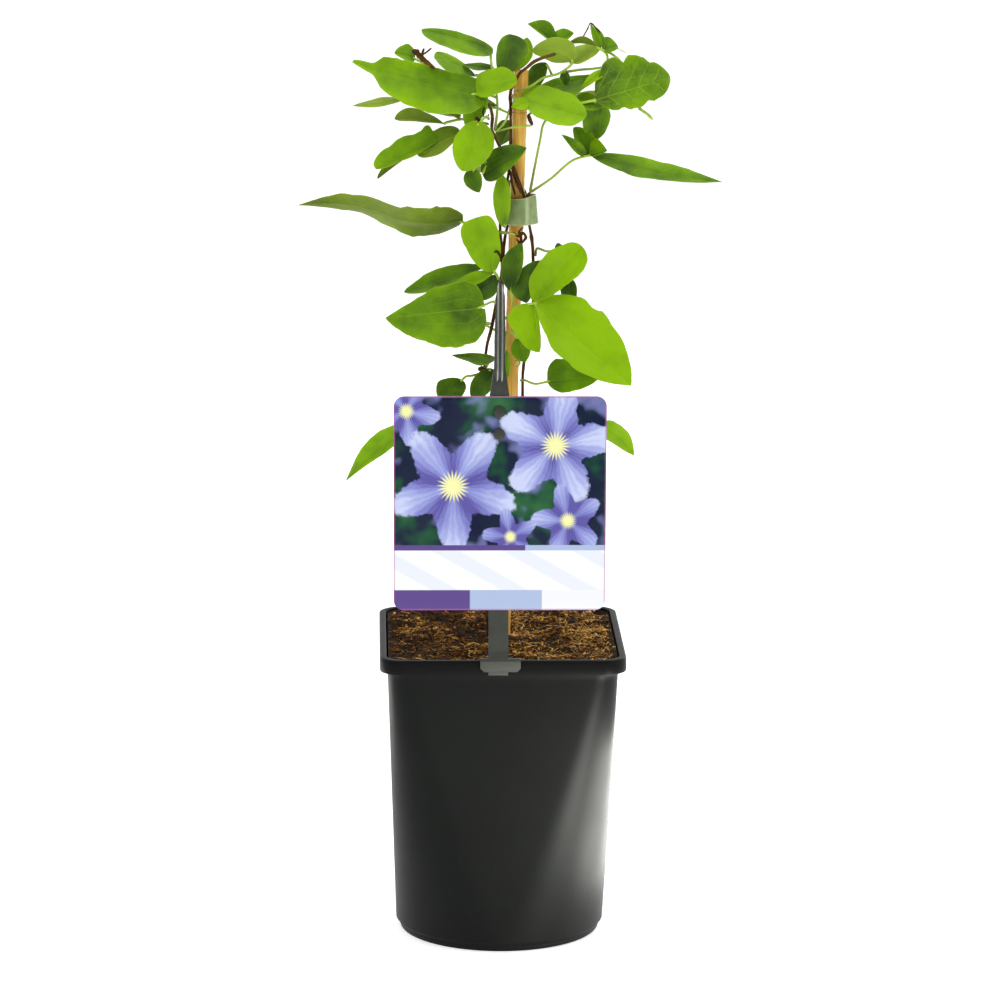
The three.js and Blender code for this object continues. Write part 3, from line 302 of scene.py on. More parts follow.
def joined(parts):
    starts = np.cumsum([0] + [len(points) for points, _, _ in parts[:-1]])
    points = np.concatenate([part[0] for part in parts])
    faces = np.concatenate([part[1] + start for part, start in zip(parts, starts)])
    tags = {key: np.concatenate([part[2][key] for part in parts]) for key in parts[0][2]}
    return points, faces, tags


def makeMesh(name, part):
    points, faces, tags = part
    mesh = bpy.data.meshes.new(name)
    mesh.vertices.add(len(points))
    mesh.vertices.foreach_set("co", (np.asarray(points) * mm).astype(np.float32).ravel())
    mesh.loops.add(faces.size)
    mesh.loops.foreach_set("vertex_index", faces.astype(np.int32).ravel())
    mesh.polygons.add(len(faces))
    mesh.polygons.foreach_set("loop_start", np.arange(0, faces.size, 4, dtype=np.int32))
    mesh.polygons.foreach_set("use_smooth", np.ones(len(faces), dtype=bool))
    for key, values in tags.items():
        layer = mesh.attributes.new(key, "FLOAT_VECTOR", "POINT")
        layer.data.foreach_set("vector", values.astype(np.float32).ravel())
    mesh.update(calc_edges=True)
    mesh.validate()
    return mesh


# puts a mesh in the scene as a piece of the plant, standing for the given nodes
def addPiece(name, mesh, material, slot, *nodes):
    piece = newObject(name, mesh)
    mesh.materials.clear()
    mesh.materials.append(material)
    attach(piece, "root")
    if nodes:
        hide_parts(*nodes)
    return piece


def addPart(name, part, *rest):
    return addPiece(name, makeMesh(name, part), *rest)


def unit(vectors):
    return vectors / np.linalg.norm(vectors, axis=-1, keepdims=True)


# smooth random hills from -0.5 to 0.5, one corner value per cell, blended in between
def hills(x, y, cell, seed):
    table = np.random.default_rng(seed).random((64, 64))
    x, y = x / cell, y / cell
    i, j = np.floor(x).astype(int), np.floor(y).astype(int)
    x, y = x - i, y - j
    x, y = x * x * (3 - 2 * x), y * y * (3 - 2 * y)
    at = lambda a, b: table[(i + a) % 64, (j + b) % 64]
    near = at(0, 0) + x * (at(1, 0) - at(0, 0))
    far = at(0, 1) + x * (at(1, 1) - at(0, 1))
    return near + y * (far - near) - 0.5


# a smooth line through the points: each span is a cubic whose speed follows the root of
# the distance between its points, with the ends carried straight on
def smoothLine(points, perSpan):
    p = np.array(points, float)
    p = np.vstack([2 * p[0] - p[1], p, 2 * p[-1] - p[-2]])
    step = np.sqrt(np.linalg.norm(np.diff(p, axis=0), axis=1))[:, None, None]
    before, here, after, last = (p[i:len(p) - 3 + i, None] for i in range(4))
    d0, d1, d2 = (step[i:len(step) - 2 + i] for i in range(3))
    leave = (here - before) / d0 - (after - before) / (d0 + d1) + (after - here) / d1
    reach = (after - here) / d1 - (last - here) / (d1 + d2) + (last - after) / d2
    leave, reach = leave * d1, reach * d1
    t = (np.arange(perSpan) / perSpan)[None, :, None]
    line = (here + leave * t + (3 * (after - here) - 2 * leave - reach) * t ** 2
            + (2 * (here - after) + leave + reach) * t ** 3)
    return np.vstack([line.reshape(-1, 3), p[-2]])


# distance along a line to each of its points
def lengthAlong(line):
    return np.concatenate([[0], np.cumsum(np.linalg.norm(np.diff(line, axis=0), axis=1))])


# a round rod along a line: rings across its direction, with small end rings that round it off
def rod(line, radius, sides, seed=0.0):
    line = np.asarray(line, float)
    radius = np.broadcast_to(np.asarray(radius, float), len(line)).copy()
    radius[[0, -1]] *= 0.45
    ahead = unit(np.gradient(line, axis=0))
    across = np.eye(3)[np.argmin(np.abs(ahead).max(axis=0))]
    side = unit(np.cross(across, ahead))
    up = np.cross(ahead, side)
    angle = np.arange(sides) * 2 * np.pi / sides
    spoke = np.cos(angle)[:, None] * side[:, None] + np.sin(angle)[:, None] * up[:, None]
    points = (line[:, None] + radius[:, None, None] * spoke).reshape(-1, 3)
    run = lengthAlong(line)[:, None]
    tags = {
        "place": listed(run / 10, np.cos(angle) * 0.1, seed),
        "tone": listed(run / run[-1], 0 * angle, 0),
    }
    return points, ringFaces(len(line), sides), tags


# leaves

# shares of the half width where a blade has its points, close together at midrib and edge
bladeColumns = np.array([0, .03, .08, .16, .26, .37, .48, .58, .68, .77, .85, .915, .96, .985, 1])
blade = {
    "belly": 0.38, "taper": 0.95, "tail": 0, "tailFrom": 0.74, "tailOver": 0.1, "heart": 0,
    "fold": 10, "arch": 0.06, "bend": 0, "sway": 0, "wave": 0.05, "waves": 1.5, "slant": 0,
    "lobes": 0, "lobeCount": 3, "edgeWander": 0.055, "wanderCell": 8, "edgeNick": 0.035,
    "nickCell": 2.6, "thick": 0.36, "edgeThick": 0.12, "groove": 0.2, "grooveWidth": 0.7,
    "ridge": 0.3, "ridgeWidth": 0.55, "veins": 0.25, "ribs": 0, "crumple": 0.9,
    # share of the half width and of the groove's depth
    "sideGrooves": [(0.42, 0.35), (0.76, 0.2)], "sideGrooveWidth": 0.6, "stub": 0.5, "least": 0.14,
    # share of the crumple, cell, step from leaf to leaf, seed
    "crumples": [(1.6, 9, 37, 5), (0.6, 4, 53, 6)],
    "rows": 44, "rowsSmall": 28, "smallWidth": 13, "rowCrowd": 0.8,
}
stalkShape = {"radius": 0.8, "neck": 0.66, "sides": 8, "perSpan": 8}


# widths are the left and the right half, seen from the leaf's top with the tip ahead
def leaf(base, tip, widths, faces, tone, **changes):
    return {"base": base, "tip": tip, "widths": widths, "faces": faces, "tone": tone,
            "shape": {**blade, **changes}}


def stalk(*points):
    return {"points": points}


# A blade is rings across its axis, each running over the top and back underneath. Each half's
# width rises as a power of u to its belly and falls as a power of the rest to the tip, with
# a soft step down by the tail's share, hills and lobes between narrow dips, but it is never
# less than a stub at the base and the least half width. The halves rise by the fold angle,
# the midrib bows up by arch, sideways by sway and into an S by bend, the edges wave, and hills
# of two sizes and sunken veins roughen it.
def bladePart(spec, number):
    s = spec["shape"]
    base, tip, faces = (np.array(spec[key], float) for key in ("base", "tip", "faces"))
    length = np.linalg.norm(tip - base)
    axis = (tip - base) / length
    up = unit(faces - axis * (faces @ axis))
    side = np.cross(up, axis)
    rows = s["rows"] if sum(spec["widths"]) > s["smallWidth"] else s["rowsSmall"]
    share = np.linspace(0, 1, rows)
    u = (share - s["rowCrowd"] * np.sin(2 * np.pi * share) / (2 * np.pi))[:, None]
    over = np.concatenate([bladeColumns[::-1], -bladeColumns[1:]])
    v = np.concatenate([over, over[::-1]])[None, :] + 0 * u
    u = u + 0 * v
    under = (np.arange(v.shape[1]) >= len(over))[None, :] + 0 * u
    width, belly, taper = (np.where(v > 0, *pair) for pair in (
        spec["widths"], np.broadcast_to(s["belly"], 2), np.broadcast_to(s["taper"], 2)))
    wide = (u / belly) ** (taper * belly / (1 - belly)) * ((1 - u) / (1 - belly)) ** taper
    lane = np.sign(v) * 7 + number * 9.1
    drop = np.clip((u - s["tailFrom"]) / s["tailOver"], 0, 1)
    wide = wide * (1 - s["tail"] * drop ** 2 * (3 - 2 * drop))
    nick = 1 + s["edgeWander"] * 2 * hills(u * length, lane, s["wanderCell"], 3)
    nick = nick + s["edgeNick"] * 2 * hills(u * length, lane, s["nickCell"], 4)
    dips = np.abs(np.sin(np.pi * s["lobeCount"] * u + np.where(v > 0, 0.5, 1.4))) ** 10
    nick = nick - s["lobes"] * dips
    half = np.maximum(width * wide * nick, s["stub"] * (1 - u) ** 12 + s["least"])
    out = np.abs(v)
    fold = math.radians(s["fold"])
    bow = 4 * u * (1 - u) * length
    along = length * (u - s["heart"] * out ** 1.5 * (1 - u) ** 4)
    phase = 2 * np.pi * s["waves"] * u + np.where(v > 0, 0.6, 2.4)
    lift = (half * (np.sqrt(out ** 2 + 0.0016) - 0.04) * math.sin(fold) + s["arch"] * bow
            + s["bend"] * length * np.sin(2 * np.pi * u)
            + s["wave"] * half * v * v * np.sin(phase))
    d = out * half
    lift = lift - s["groove"] * np.exp(-(d / s["grooveWidth"]) ** 2) * (1 - under)
    for place, depth in s["sideGrooves"]:
        gap = (out - place * (1 - 0.3 * u)) * half
        sunk = depth * s["groove"] * np.exp(-(gap / s["sideGrooveWidth"]) ** 2)
        lift = lift - sunk * np.minimum(half / 9, 1)
    size = np.minimum(half / 12, 1)
    for part, cell, step, seed in s["crumples"]:
        rough = hills(along, v * half + number * step, cell, seed)
        lift = lift + s["crumple"] * size * part * rough
    thick = s["edgeThick"] + (s["thick"] - s["edgeThick"]) * (1 - out ** 8)
    thick = np.minimum(thick, half)
    below = s["ridge"] * np.exp(-(d / s["ridgeWidth"]) ** 2) * np.minimum(half / 3, 1)
    lift = lift + np.where(under > 0.5, -thick / 2 - below, thick / 2)
    aside = half * v * math.cos(fold) + s["sway"] * bow
    points = base + axis * along[..., None] + side * aside[..., None] + up * lift[..., None]
    tags = {
        "span": listed(u, v, half),
        "place": listed(along / 10, v * half / 10, number * 3.7),
        # painted light and shade: the slant tilts the tone across the blade, so one half is
        # painted lighter and the other darker for the side the light falls on
        "tone": listed(spec["tone"] + s["slant"] * v, under, 0),
        "look": listed(s["veins"] + 0 * u, s["ribs"], 0),
    }
    return points.reshape(-1, 3), ringFaces(rows, v.shape[1]), tags


# A leaf stalk is a rod along a smooth line, a little thicker at both ends.
def stalkPart(spec, number):
    s = stalkShape
    line = smoothLine(spec["points"], s["perSpan"])
    share = np.linspace(-1, 1, len(line))
    radius = s["neck"] + (s["radius"] - s["neck"]) * share ** 4
    return rod(line, radius, s["sides"], number)


# Leaf skin: the tone picks the green, clouded by slow noise, duller at the base and brighter
# at the edge. Veins are thin lines at shares of the half width and a net of cell borders; the
# underside is duller and paler.
def leafRecipe(w):
    u, v, half = w.split(w.tag("span"))
    place = w.tag("place")
    tone, under, _ = w.split(w.tag("tone"))
    strength, ribs, _ = w.split(w.tag("look"))
    out = w.calc("ABSOLUTE", v)
    d = out * half
    midrib = w.ramp(d / ((1 - u) * 0.34 + 0.16), 1.3, 0.3)
    bent = w.noise(place, 1.5, 2) * 2.4 - 1.2

    def sideVein(share, width):
        gap = w.calc("ABSOLUTE", (out - (1 - u * 0.35) * share) * half + bent)
        return w.ramp(gap, width, width * 0.25) * w.ramp(u, 0.9, 0.45)

    wide = w.cells(place, 1.7, "DISTANCE_TO_EDGE")
    small = w.cells(place, 5.2, "DISTANCE_TO_EDGE")
    strong = w.calc("MAXIMUM", midrib, sideVein(0.4, 0.36) * 0.75)
    strong = w.calc("MAXIMUM", strong, sideVein(0.72, 0.3) * 0.6)
    slope = w.noise(place, 1.6, 2) * 0.3 + (w.split(place)[0] - d * 0.08)
    rung = w.ramp(w.calc("PINGPONG", slope, 0.42), 0.05, 0.01) * w.ramp(out, 0.95, 0.6)
    strong = w.calc("MAXIMUM", strong, rung * ribs)
    fine = w.calc("MAXIMUM", w.ramp(wide, 0.05, 0.01, 0.3), w.ramp(small, 0.09, 0.02, 0.15))
    vein = w.calc("MAXIMUM", strong, fine)
    slow = w.noise(place, 0.5, 2) * 0.9 - 0.45
    quick = w.noise(place, 1.7, 4, 0.6) * 0.36 - 0.18
    outward = out * out * 0.16 - 0.05
    forward = w.ramp(u, 0, 0.5) * 0.16 - 0.12
    shade = tone + (slow + quick + (outward + forward))
    top = w.colours(shade, (0, tint(50, 80, 24)), (0.25, tint(80, 116, 22)),
                    (0.5, tint(116, 162, 16)), (0.75, tint(144, 190, 4)),
                    (1, tint(160, 206, 0)))
    marked = vein * (strength * w.ramp(tone, -0.1, 0.6)) * 0.9
    top = w.blend(marked, top, w.blend(0.6, top, tint(190, 212, 90)))
    back = w.colours(shade, (0, tint(88, 110, 30)), (0.5, tint(128, 150, 40)),
                     (1, tint(172, 194, 68)))
    back = w.blend(marked, back, tint(176, 190, 84))
    colour = w.blend(under, top, back)
    colour = w.blend(w.ramp(out, 0.95, 0.99, 0.6), colour, tint(180, 206, 50))
    height = w.noise(place, 5, 4, 0.6) * 0.45 + w.ramp(wide, 0, 0.35) * strength - vein * 0.3
    skin = w.skin(colour, w.noise(place, 1.2, 3) * 0.2 + 0.36, 0.16, (height, 0.5, 0.0007))
    glow = w.blend(0.6, colour, tint(196, 230, 0), "MULTIPLY")
    glow = w.value("ShaderNodeBsdfTranslucent", {"Color": glow})
    return w.value("ShaderNodeMixShader", {0: 0.36, 1: skin, 2: glow})


# Stalk skin turns from olive at the stem to green at the blade, with long fine streaks.
def stalkRecipe(w):
    share = w.split(w.tag("tone"))[0]
    fibre = w.noise(w.stretch(w.tag("place"), 0.6, 2.5, 2.5), 2.4, 3)
    colour = w.colours(share + (fibre * 0.5 - 0.25), (0, tint(112, 118, 40)),
                       (0.25, tint(140, 166, 46)), (1, tint(166, 198, 54)))
    return w.skin(colour, 0.45, 0.5, (fibre, 0.4, 0.0003))


# every spray's stalks and leaves: base, tip, width, the way its top faces, tone from dark to
# bright (partly the leaf's own colour, partly painted shade and light for how lit it stands),
# and what differs from the usual blade
sprays = {
    "spray_top_left": [
        stalk((-4.6, -8.3, 434), (-3.3, -6, 443), (-3.3, -4, 451), (-5.4, -1, 462),
              (-6.8, 1.4, 474.4)),
        stalk((-3.3, -4, 451), (-9, -6.4, 453), (-17, -9, 453.4)),
        stalk((-5.4, -1, 462), (-10, 4, 462), (-15, 6, 461.6)),
        leaf((-15, -9, 453), (-79, -26, 472), (16, 11), (0.3, -0.8, 0.5), 0.6,
             belly=(0.36, 0.3), taper=(0.8, 0.3), tail=0.6, fold=5, arch=-0.04, heart=0.08,
             wave=0.08, slant=0.14),
        leaf((-14.4, -8.2, 455.2), (7, -13, 461), (11, 7), (0, -0.7, 0.7), 0.8,
             belly=0.4, taper=0.5, arch=0),
        leaf((-10, -6.8, 454.4), (-18, -3, 434), (5, 8), (-0.3, -0.9, 0.2), 0.6,
             taper=0.6, arch=0),
        leaf((-5.4, 1.8, 474), (-43, -10, 487), (10, 4), (0.3, -0.7, 0.6), 0.55,
             belly=(0.55, 0.3), taper=0.5),
        leaf((-14, 6, 461), (-35, 14, 473), (11, 4), (0, -0.4, 0.9), 0.6,
             belly=0.6, taper=0.6, arch=0),
        leaf((-5, 0, 465.4), (-21, 10, 467), (5, 4), (0, -0.4, 0.9), 0.3, arch=0),
    ],
    "spray_top_centre": [
        stalk((2.6, -5.6, 456), (0.6, -4.8, 459), (-1, -3.4, 463)),
        stalk((0.6, -4.8, 459), (3, 2, 460), (5.6, 5.6, 464)),
        leaf((-1.4, -3, 462), (5, 7, 483), (6, 11), (0, -0.8, 0.6), 0.3,
             belly=0.62, taper=0.45, fold=6),
        leaf((5, 6, 462.4), (13, 12, 481), (3, 6), (0.3, -0.9, 0.3), 0.7,
             belly=0.6, taper=0.7, fold=6),
    ],
    "spray_crown": [
        stalk((6.6, -7.4, 455), (13.9, -6, 457), (20.9, -1, 461),
              (30.1, 6, 463), (36.6, 9.4, 467.6), (36.4, 7.4, 470)),
        stalk((36.4, 9.2, 467.4), (33, 13, 472), (26.8, 12.6, 478.2)),
        stalk((30.1, 6, 463), (40.8, 12, 464), (49.3, 15, 464.4),
              (54.6, 14, 466), (55, 13, 472), (49.4, 10.6, 476.4)),
        stalk((54, 12.4, 474), (58, 13, 472), (62, 12, 469)),
        stalk((25.8, 3, 462), (24.4, 8, 465), (23.2, 12, 467)),
        leaf((28, 13, 477.4), (13, 8, 488.6), (2, 7), (0, -0.7, 0.6), 0.5,
             belly=0.5, fold=20, wave=0, edgeWander=0, edgeNick=0),
        leaf((28, 12.6, 477.8), (37.4, 12, 483.4), (6, 2), (0, -0.8, 0.6), 0.5,
             belly=0.35, taper=0.7, arch=0),
        leaf((51, 11, 476), (33, 4, 478), (5, 2), (0, 0.6, 0.8), 0.3, belly=0.6, arch=0.12),
        leaf((38, 8, 469.4), (16, 0, 477), (11, 9), (0, 0.7, 0.7), 1,
             belly=0.5, taper=0.6, fold=6),
        leaf((37, 9.2, 467.8), (52, 14, 476), (3, 9), (0, 0.6, -0.7), 0.9,
             belly=0.45, taper=0.7, fold=6, arch=0),
        leaf((23, 12, 467.6), (15, 16, 453), (4, 6), (0, -0.7, 0.4), 0.3,
             belly=0.5, taper=0.6, fold=12),
        leaf((31.4, 7, 463.6), (34, 9, 456), (3, 4), (0, -0.6, 0.6), 0.3, fold=20),
        leaf((51.6, 11.6, 475.4), (46, 10, 489), (2, 2), (-0.3, -0.6, 0.6), 0.55, fold=24),
        leaf((53.6, 12.4, 474), (47, 13, 488), (1, 2), (0.3, -0.6, 0.6), 0.5,
             fold=20, sway=-0.05),
        leaf((53, 12.4, 474), (61, 15, 476), (7, 3), (0.2, -0.6, 0.6), 0.5, taper=0.6, fold=16),
    ],
    "spray_right": [
        stalk((14.2, -5.6, 401), (16.9, -3, 415), (19.6, 0, 428),
              (22.2, 1, 438), (32.8, 2, 445), (51, -0.6, 450)),
        stalk((14.2, -5.6, 401), (25.5, -1, 408), (37.2, 4, 417), (48, 5, 420)),
        stalk((44, 1, 448.6), (48, 4, 448), (51, 6.6, 445.6)),
        stalk((51, 6.6, 445.6), (55, 8, 455), (54, 8, 462.6)),
        leaf((49, -1, 449.4), (87, -12, 463), (20, 13), (-0.3, -0.8, 0.5), 0.45,
             belly=(0.4, 0.6), taper=(0.7, 0.4), fold=8, arch=0, veins=0.8, ribs=1, edgeNick=0.06,
             lobes=0.16),
        leaf((51, 6, 446.6), (48, 12, 426), (7, 8), (0.1, -0.95, 0.2), 0.45,
             belly=0.35, taper=0.7, arch=0),
        leaf((53, 8, 463), (15, 24, 450), (16, 5), (0, -0.6, 0.8), 0.45,
             belly=(0.5, 0.7), taper=0.6, arch=0),
        leaf((44, 5.6, 419), (31, 2, 431), (3, 3), (-0.2, -0.8, 0.5), 0.4, fold=24),
        leaf((45, 6, 419.6), (38, 12, 433.6), (4, 7), (0.2, -0.8, 0.4), 0.4, fold=16, taper=0.6),
        leaf((46, 5, 420), (115.4, -14, 408), (8, 9), (0, -0.5, 0.85), 0.48,
             belly=0.42, taper=1.15, arch=-0.03),
        leaf((54, 5, 446), (38, 2, 448.6), (6, 6), (-0.1, -0.7, 0.7), 0.5,
             belly=0.6, taper=0.6, arch=0),
        leaf((54.6, 6, 464), (41, 3, 455), (4, 3), (0, -0.6, 0.8), 0.95, fold=24),
        leaf((46, 4.6, 420), (55, 0, 422.6), (8, 2), (0.2, -0.8, 0.5), 0.5, fold=12, arch=0),
    ],
    "spray_front_high": [
        stalk((4.6, -7, 453), (5.8, -8.6, 451), (8.5, -9, 450), (12, -8.4, 450)),
        leaf((10, -8.4, 450.4), (43, -18, 443), (13, 11), (0, -0.7, 0.7), 0.82,
             belly=(0.4, 0.6), taper=0.62, fold=5, arch=-0.02, heart=0.06),
        leaf((13, -10, 449.4), (4, -11.4, 447), (5, 4), (0, -0.7, 0.7), 0.95, fold=14, arch=0),
    ],
    "spray_left_high": [
        stalk((-7.6, -8, 431), (-14.3, -6, 431.4), (-25, -2.4, 430.4)),
        leaf((-34, -2.6, 429), (-67, -16, 415), (4, 10), (-0.1, -0.8, 0.6), 0.6,
             belly=(0.5, 0.2), taper=(0.6, 0.35), fold=6, arch=0.03, wave=0.12, edgeWander=0.16,
             edgeNick=0.06),
        leaf((-22, -2, 432.6), (-45, -6, 421), (9, 5), (-0.1, 0.7, -0.7), 0.6,
             belly=(0.4, 0.6), taper=0.5, arch=0, edgeWander=0.1),
        leaf((-43, -3, 424), (-66, -10, 409), (5, 2), (0.1, 0.6, 0.8), 0.2,
             belly=0.55, taper=0.5, arch=0.04),
    ],
    "spray_left_far": [
        stalk((3.4, -8, 380), (-1, -8.2, 380.6), (-9.4, -5.6, 381.6), (-23, -4.2, 385.8)),
        leaf((-21, -4, 386), (-108, -10, 395), (14, 14), (0, 0.6, 0.8), 0.4,
             belly=0.28, taper=1, fold=5, arch=0, bend=-0.04, wave=0.14, edgeNick=0.09),
    ],
    "spray_left_mid": [
        stalk((-1.9, -6.2, 353), (-2.8, -7, 357), (-5, -6.4, 360)),
        stalk((-2.8, -7, 357), (-5, -3, 358.6), (-11.4, 1.2, 360)),
        leaf((-5, -6.4, 359), (-14, -13, 389), (11, 9), (0.1, -0.9, -0.2), 0.75,
             belly=0.72, taper=0.22, arch=0),
        leaf((-10, 1, 360), (-52, -2, 347.6), (8, 8), (-0.2, -0.5, 0.8), 0.45,
             belly=(0.62, 0.45), taper=0.7, arch=0),
        leaf((-4, -6.4, 359), (-27, -6, 350.8), (4, 4), (-0.2, -0.8, 0.6), 0.8,
             belly=0.5, fold=16, arch=0),
        leaf((-3, -6.2, 357), (-16, -6.6, 347), (8, 3), (0, -0.95, 0.3), 0.2,
             belly=0.5, taper=0.5, arch=0),
    ],
    "spray_left_big": [
        stalk((-3.2, -6, 342), (-5, -9, 343.6), (-13.4, -14.6, 340.8)),
        leaf((-11.4, -14, 341), (-62, -30, 338.4), (20, 15), (0.2, -0.9, 0.38), 0.5,
             belly=(0.33, 0.22), taper=(0.8, 1.05), fold=4, arch=0, heart=0.04, veins=0.5),
    ],
    "spray_left_low": [
        stalk((-9.8, -5, 305), (-15.5, -9, 304), (-19.2, -10, 303.6), (-22, -10.6, 301)),
        stalk((-9.8, -5, 305), (-8, -8, 309), (-5.4, -8.2, 313.4)),
        stalk((-9.8, -5, 305), (-8, -8.6, 306.6), (-5.8, -9.2, 307)),
        leaf((-4, -8, 313.6), (-27, -12, 315.6), (10, 3), (0, -0.4, 0.9), 0.35, arch=-0.02),
        leaf((-21, -10, 301.6), (-32.4, -16, 292), (8, 9), (-0.2, -0.6, 0.8), 0.2,
             belly=0.52, taper=0.45, fold=4, arch=0),
        leaf((-5, -9, 307.6), (-16, -13, 292), (6, 6), (0, -0.9, 0.3), 0.2,
             belly=0.48, taper=0.7, arch=0),
    ],
    "spray_right_mid": [
        stalk((1, -7.6, 334), (6.5, -13, 339), (12, -16.6, 343), (18, -18, 344.4)),
        stalk((6.5, -13, 339), (5, -13.4, 344), (4.2, -13, 351)),
        leaf((4, -13, 349.6), (10, -10, 375), (8, 4), (-0.3, -0.9, 0.2), 0.27,
             belly=0.5, taper=0.8),
        leaf((12, -15.6, 344), (20, -12, 366), (11, 2), (-0.3, -0.9, 0.2), 0.25,
             belly=0.36, taper=0.7, arch=0),
        leaf((16, -17, 344.4), (41, -19, 375), (12, 11), (-0.4, -0.8, 0.4), 0.86,
             belly=(0.52, 0.68), taper=(0.55, 0.4), arch=0, bend=0.02),
        leaf((16, -17, 344.4), (19, -24, 319), (2, 14), (0.1, -0.95, 0.2), 0.95,
             belly=(0.5, 0.3), taper=0.6, fold=5, arch=0),
        leaf((17, -18, 344), (67, -34, 303), (20, 14), (0.1, -0.9, 0.45), 1,
             belly=(0.42, 0.5), taper=(0.8, 1), fold=7, arch=0, veins=0.4),
    ],
    "spray_right_back": [
        stalk((17.6, 2.6, 366), (18.5, 3.6, 370), (23.3, 4, 368.6),
              (28.7, 6, 368), (32.6, 9, 362), (35.6, 8, 351.4)),
        leaf((35.4, 8, 353), (37.4, 7, 339.6), (4, 5), (-0.1, -0.95, 0.2), 0.2, taper=0.6, arch=0),
        leaf((28, 6, 368.4), (39, 14, 362), (7, 7), (0.2, -0.5, 0.8), 0.1),
    ],
    "spray_right_low": [
        stalk((10, -1.4, 300), (12, -4, 300.6), (17.5, -6, 299), (25.6, -6.6, 300.6)),
        leaf((24, -6, 300.4), (53, -14, 305), (12, 9), (-0.2, -0.8, 0.6), 0.5,
             belly=(0.26, 0.42), arch=0, veins=0.35),
    ],
    "spray_cane_low": [
        stalk((1.6, -7.6, 327), (5, -9, 327), (8.2, -9.2, 323.4)),
        stalk((1.6, -7.6, 327), (1.6, -9, 322), (1.4, -8.8, 315)),
        leaf((8, -9, 325), (12, -12, 311.4), (5, 6), (0, -0.95, 0.3), 0.4, belly=0.5),
        leaf((1.5, -9, 318), (3, -10, 303), (3, 3), (-0.3, -0.9, 0.2), 0.5, fold=20),
    ],
    "spray_band": [
        stalk((-0.8, -8, 386), (0.4, -9.2, 384), (1, -9.6, 385)),
        leaf((1, -9.5, 383), (-1, -12, 411.6), (5, 5), (-0.2, -0.9, 0.3), 0.6,
             fold=16, belly=(0.5, 0.6), taper=0.6),
    ],
    "spray_centre": [
        stalk((-7.6, -6.8, 440), (-9.2, -12, 442), (-14, -15.8, 437.6)),
        leaf((-13.6, -15.6, 438.6), (-21.6, -22, 414.6), (12, 9), (-0.2, -0.9, 0.3), 0.8,
             belly=(0.42, 0.46), taper=0.62, fold=6, arch=0, heart=0.06),
    ],
    "spray_centre_low": [
        stalk((-1.6, -9, 423), (-7.5, -10, 418), (-11, -12, 411.6)),
        stalk((-7.5, -10, 418), (-13, -11, 417), (-16, -11, 413)),
        leaf((-11, -12, 411.6), (12, -15, 426), (9, 8), (-0.2, -0.8, 0.6), 0.3,
             belly=(0.38, 0.24), taper=0.8, arch=0),
        leaf((-17, -11, 414.4), (-12.6, -12, 402), (4, 6), (0, -1, 0.2), 0.35, taper=0.8, arch=0),
    ],
    "spray_left_behind": [
        stalk((-7.4, -3.6, 437), (-14.2, 0, 438), (-21.4, 6, 438.4), (-31, 6, 436.4)),
        stalk((-21.4, 6, 438.4), (-38.3, 6, 446), (-53.6, 3, 449.4)),
        stalk((-17.3, 3, 438.2), (-24, 11, 450), (-33, 12, 462), (-47.6, 6, 471)),
        stalk((-36, 11, 464), (-42, 9, 471), (-46, 6, 475)),
        leaf((-52, 3, 449.4), (-79, 0, 446), (5, 3), (0.1, 0.5, -0.85), 0.8,
             belly=0.45, fold=8, arch=0),
        leaf((-30, 6, 435.8), (-57, 2, 439.4), (8, 3), (0, 0.7, 0.7), 0.45,
             belly=0.7, taper=0.5, arch=0.04),
        leaf((-22, 6, 440), (-43, 4, 444), (5, 5), (0, 0.5, 0.85), 0.4, fold=12, arch=0),
        leaf((-46.4, 6, 470), (-57, 4, 473.6), (4, 7), (0, -0.7, 0.7), 0.6, taper=0.6, fold=12),
    ],
    "spray_low_left": [
        stalk((-10, -4.8, 291), (-27.8, -20, 289), (-49, -31.4, 280)),
        leaf((-47, -30, 281), (-83, -50, 255), (6, 8), (-0.2, -0.6, 0.75), 0.65,
             fold=18, taper=1.1),
    ],
    "spray_low_right": [
        stalk((12.6, -0.6, 289), (30.3, -20, 287), (51, -37, 282)),
        leaf((49, -35, 283), (68, -52, 269), (8, 7), (0.2, -0.6, 0.75), 0.85, fold=12),
    ],
    "spray_back_left": [
        stalk((10, 8.8, 436), (4, 18, 440), (-8, 26, 444)),
        stalk((4, 18, 440), (6, 30, 436), (8, 38, 433)),
        leaf((-6, 25, 443.6), (-44, 36, 446), (12, 12), (-0.1, 0.35, 0.93), 0.45, heart=0.1),
        leaf((-4, 23, 443), (-22, 52, 436), (10, 11), (0, 0.6, 0.8), 0.5),
        leaf((7, 35, 434), (0, 42, 420), (7, 7), (-0.2, 0.9, 0.4), 0.1),
    ],
    "spray_back_right": [
        stalk((13.4, 8.4, 440), (20, 20, 444), (32, 30, 446)),
        leaf((30, 28.6, 446), (60, 42, 442), (11, 11), (0.1, 0.4, 0.9), 0.45, heart=0.1),
        leaf((28, 27, 445.6), (34, 56, 434), (9, 10), (0.1, 0.7, 0.7), 0.5),
    ],
    "spray_back_middle": [
        stalk((10.8, 8.4, 405), (8, 20, 404), (0, 32, 402)),
        leaf((2, 30, 401.6), (-14, 46, 406), (10, 10), (-0.2, 0.6, 0.8), 0.45, heart=0.1),
        leaf((5, 24, 403), (9, 38, 374), (8, 8), (0.1, 0.9, 0.4), 0.1),
    ],
    "spray_back_low_left": [
        stalk((5.4, 8.6, 318), (-4, 20, 324), (-16, 28, 328)),
        stalk((-4, 20, 324), (2, 32, 320), (5, 38, 317)),
        leaf((-14, 27, 327.4), (-50, 40, 326), (13, 13), (-0.1, 0.5, 0.86), 0.45, heart=0.1),
        leaf((-12, 26, 327), (-22, 56, 312), (10, 11), (-0.1, 0.75, 0.66), 0.5),
        leaf((4, 35, 318.4), (15, 62, 302), (9, 9), (0, 0.8, 0.6), 0.4, heart=0.1),
    ],
    "spray_back_low_right": [
        stalk((9.8, 8.4, 330), (18, 18, 334), (28, 26, 336)),
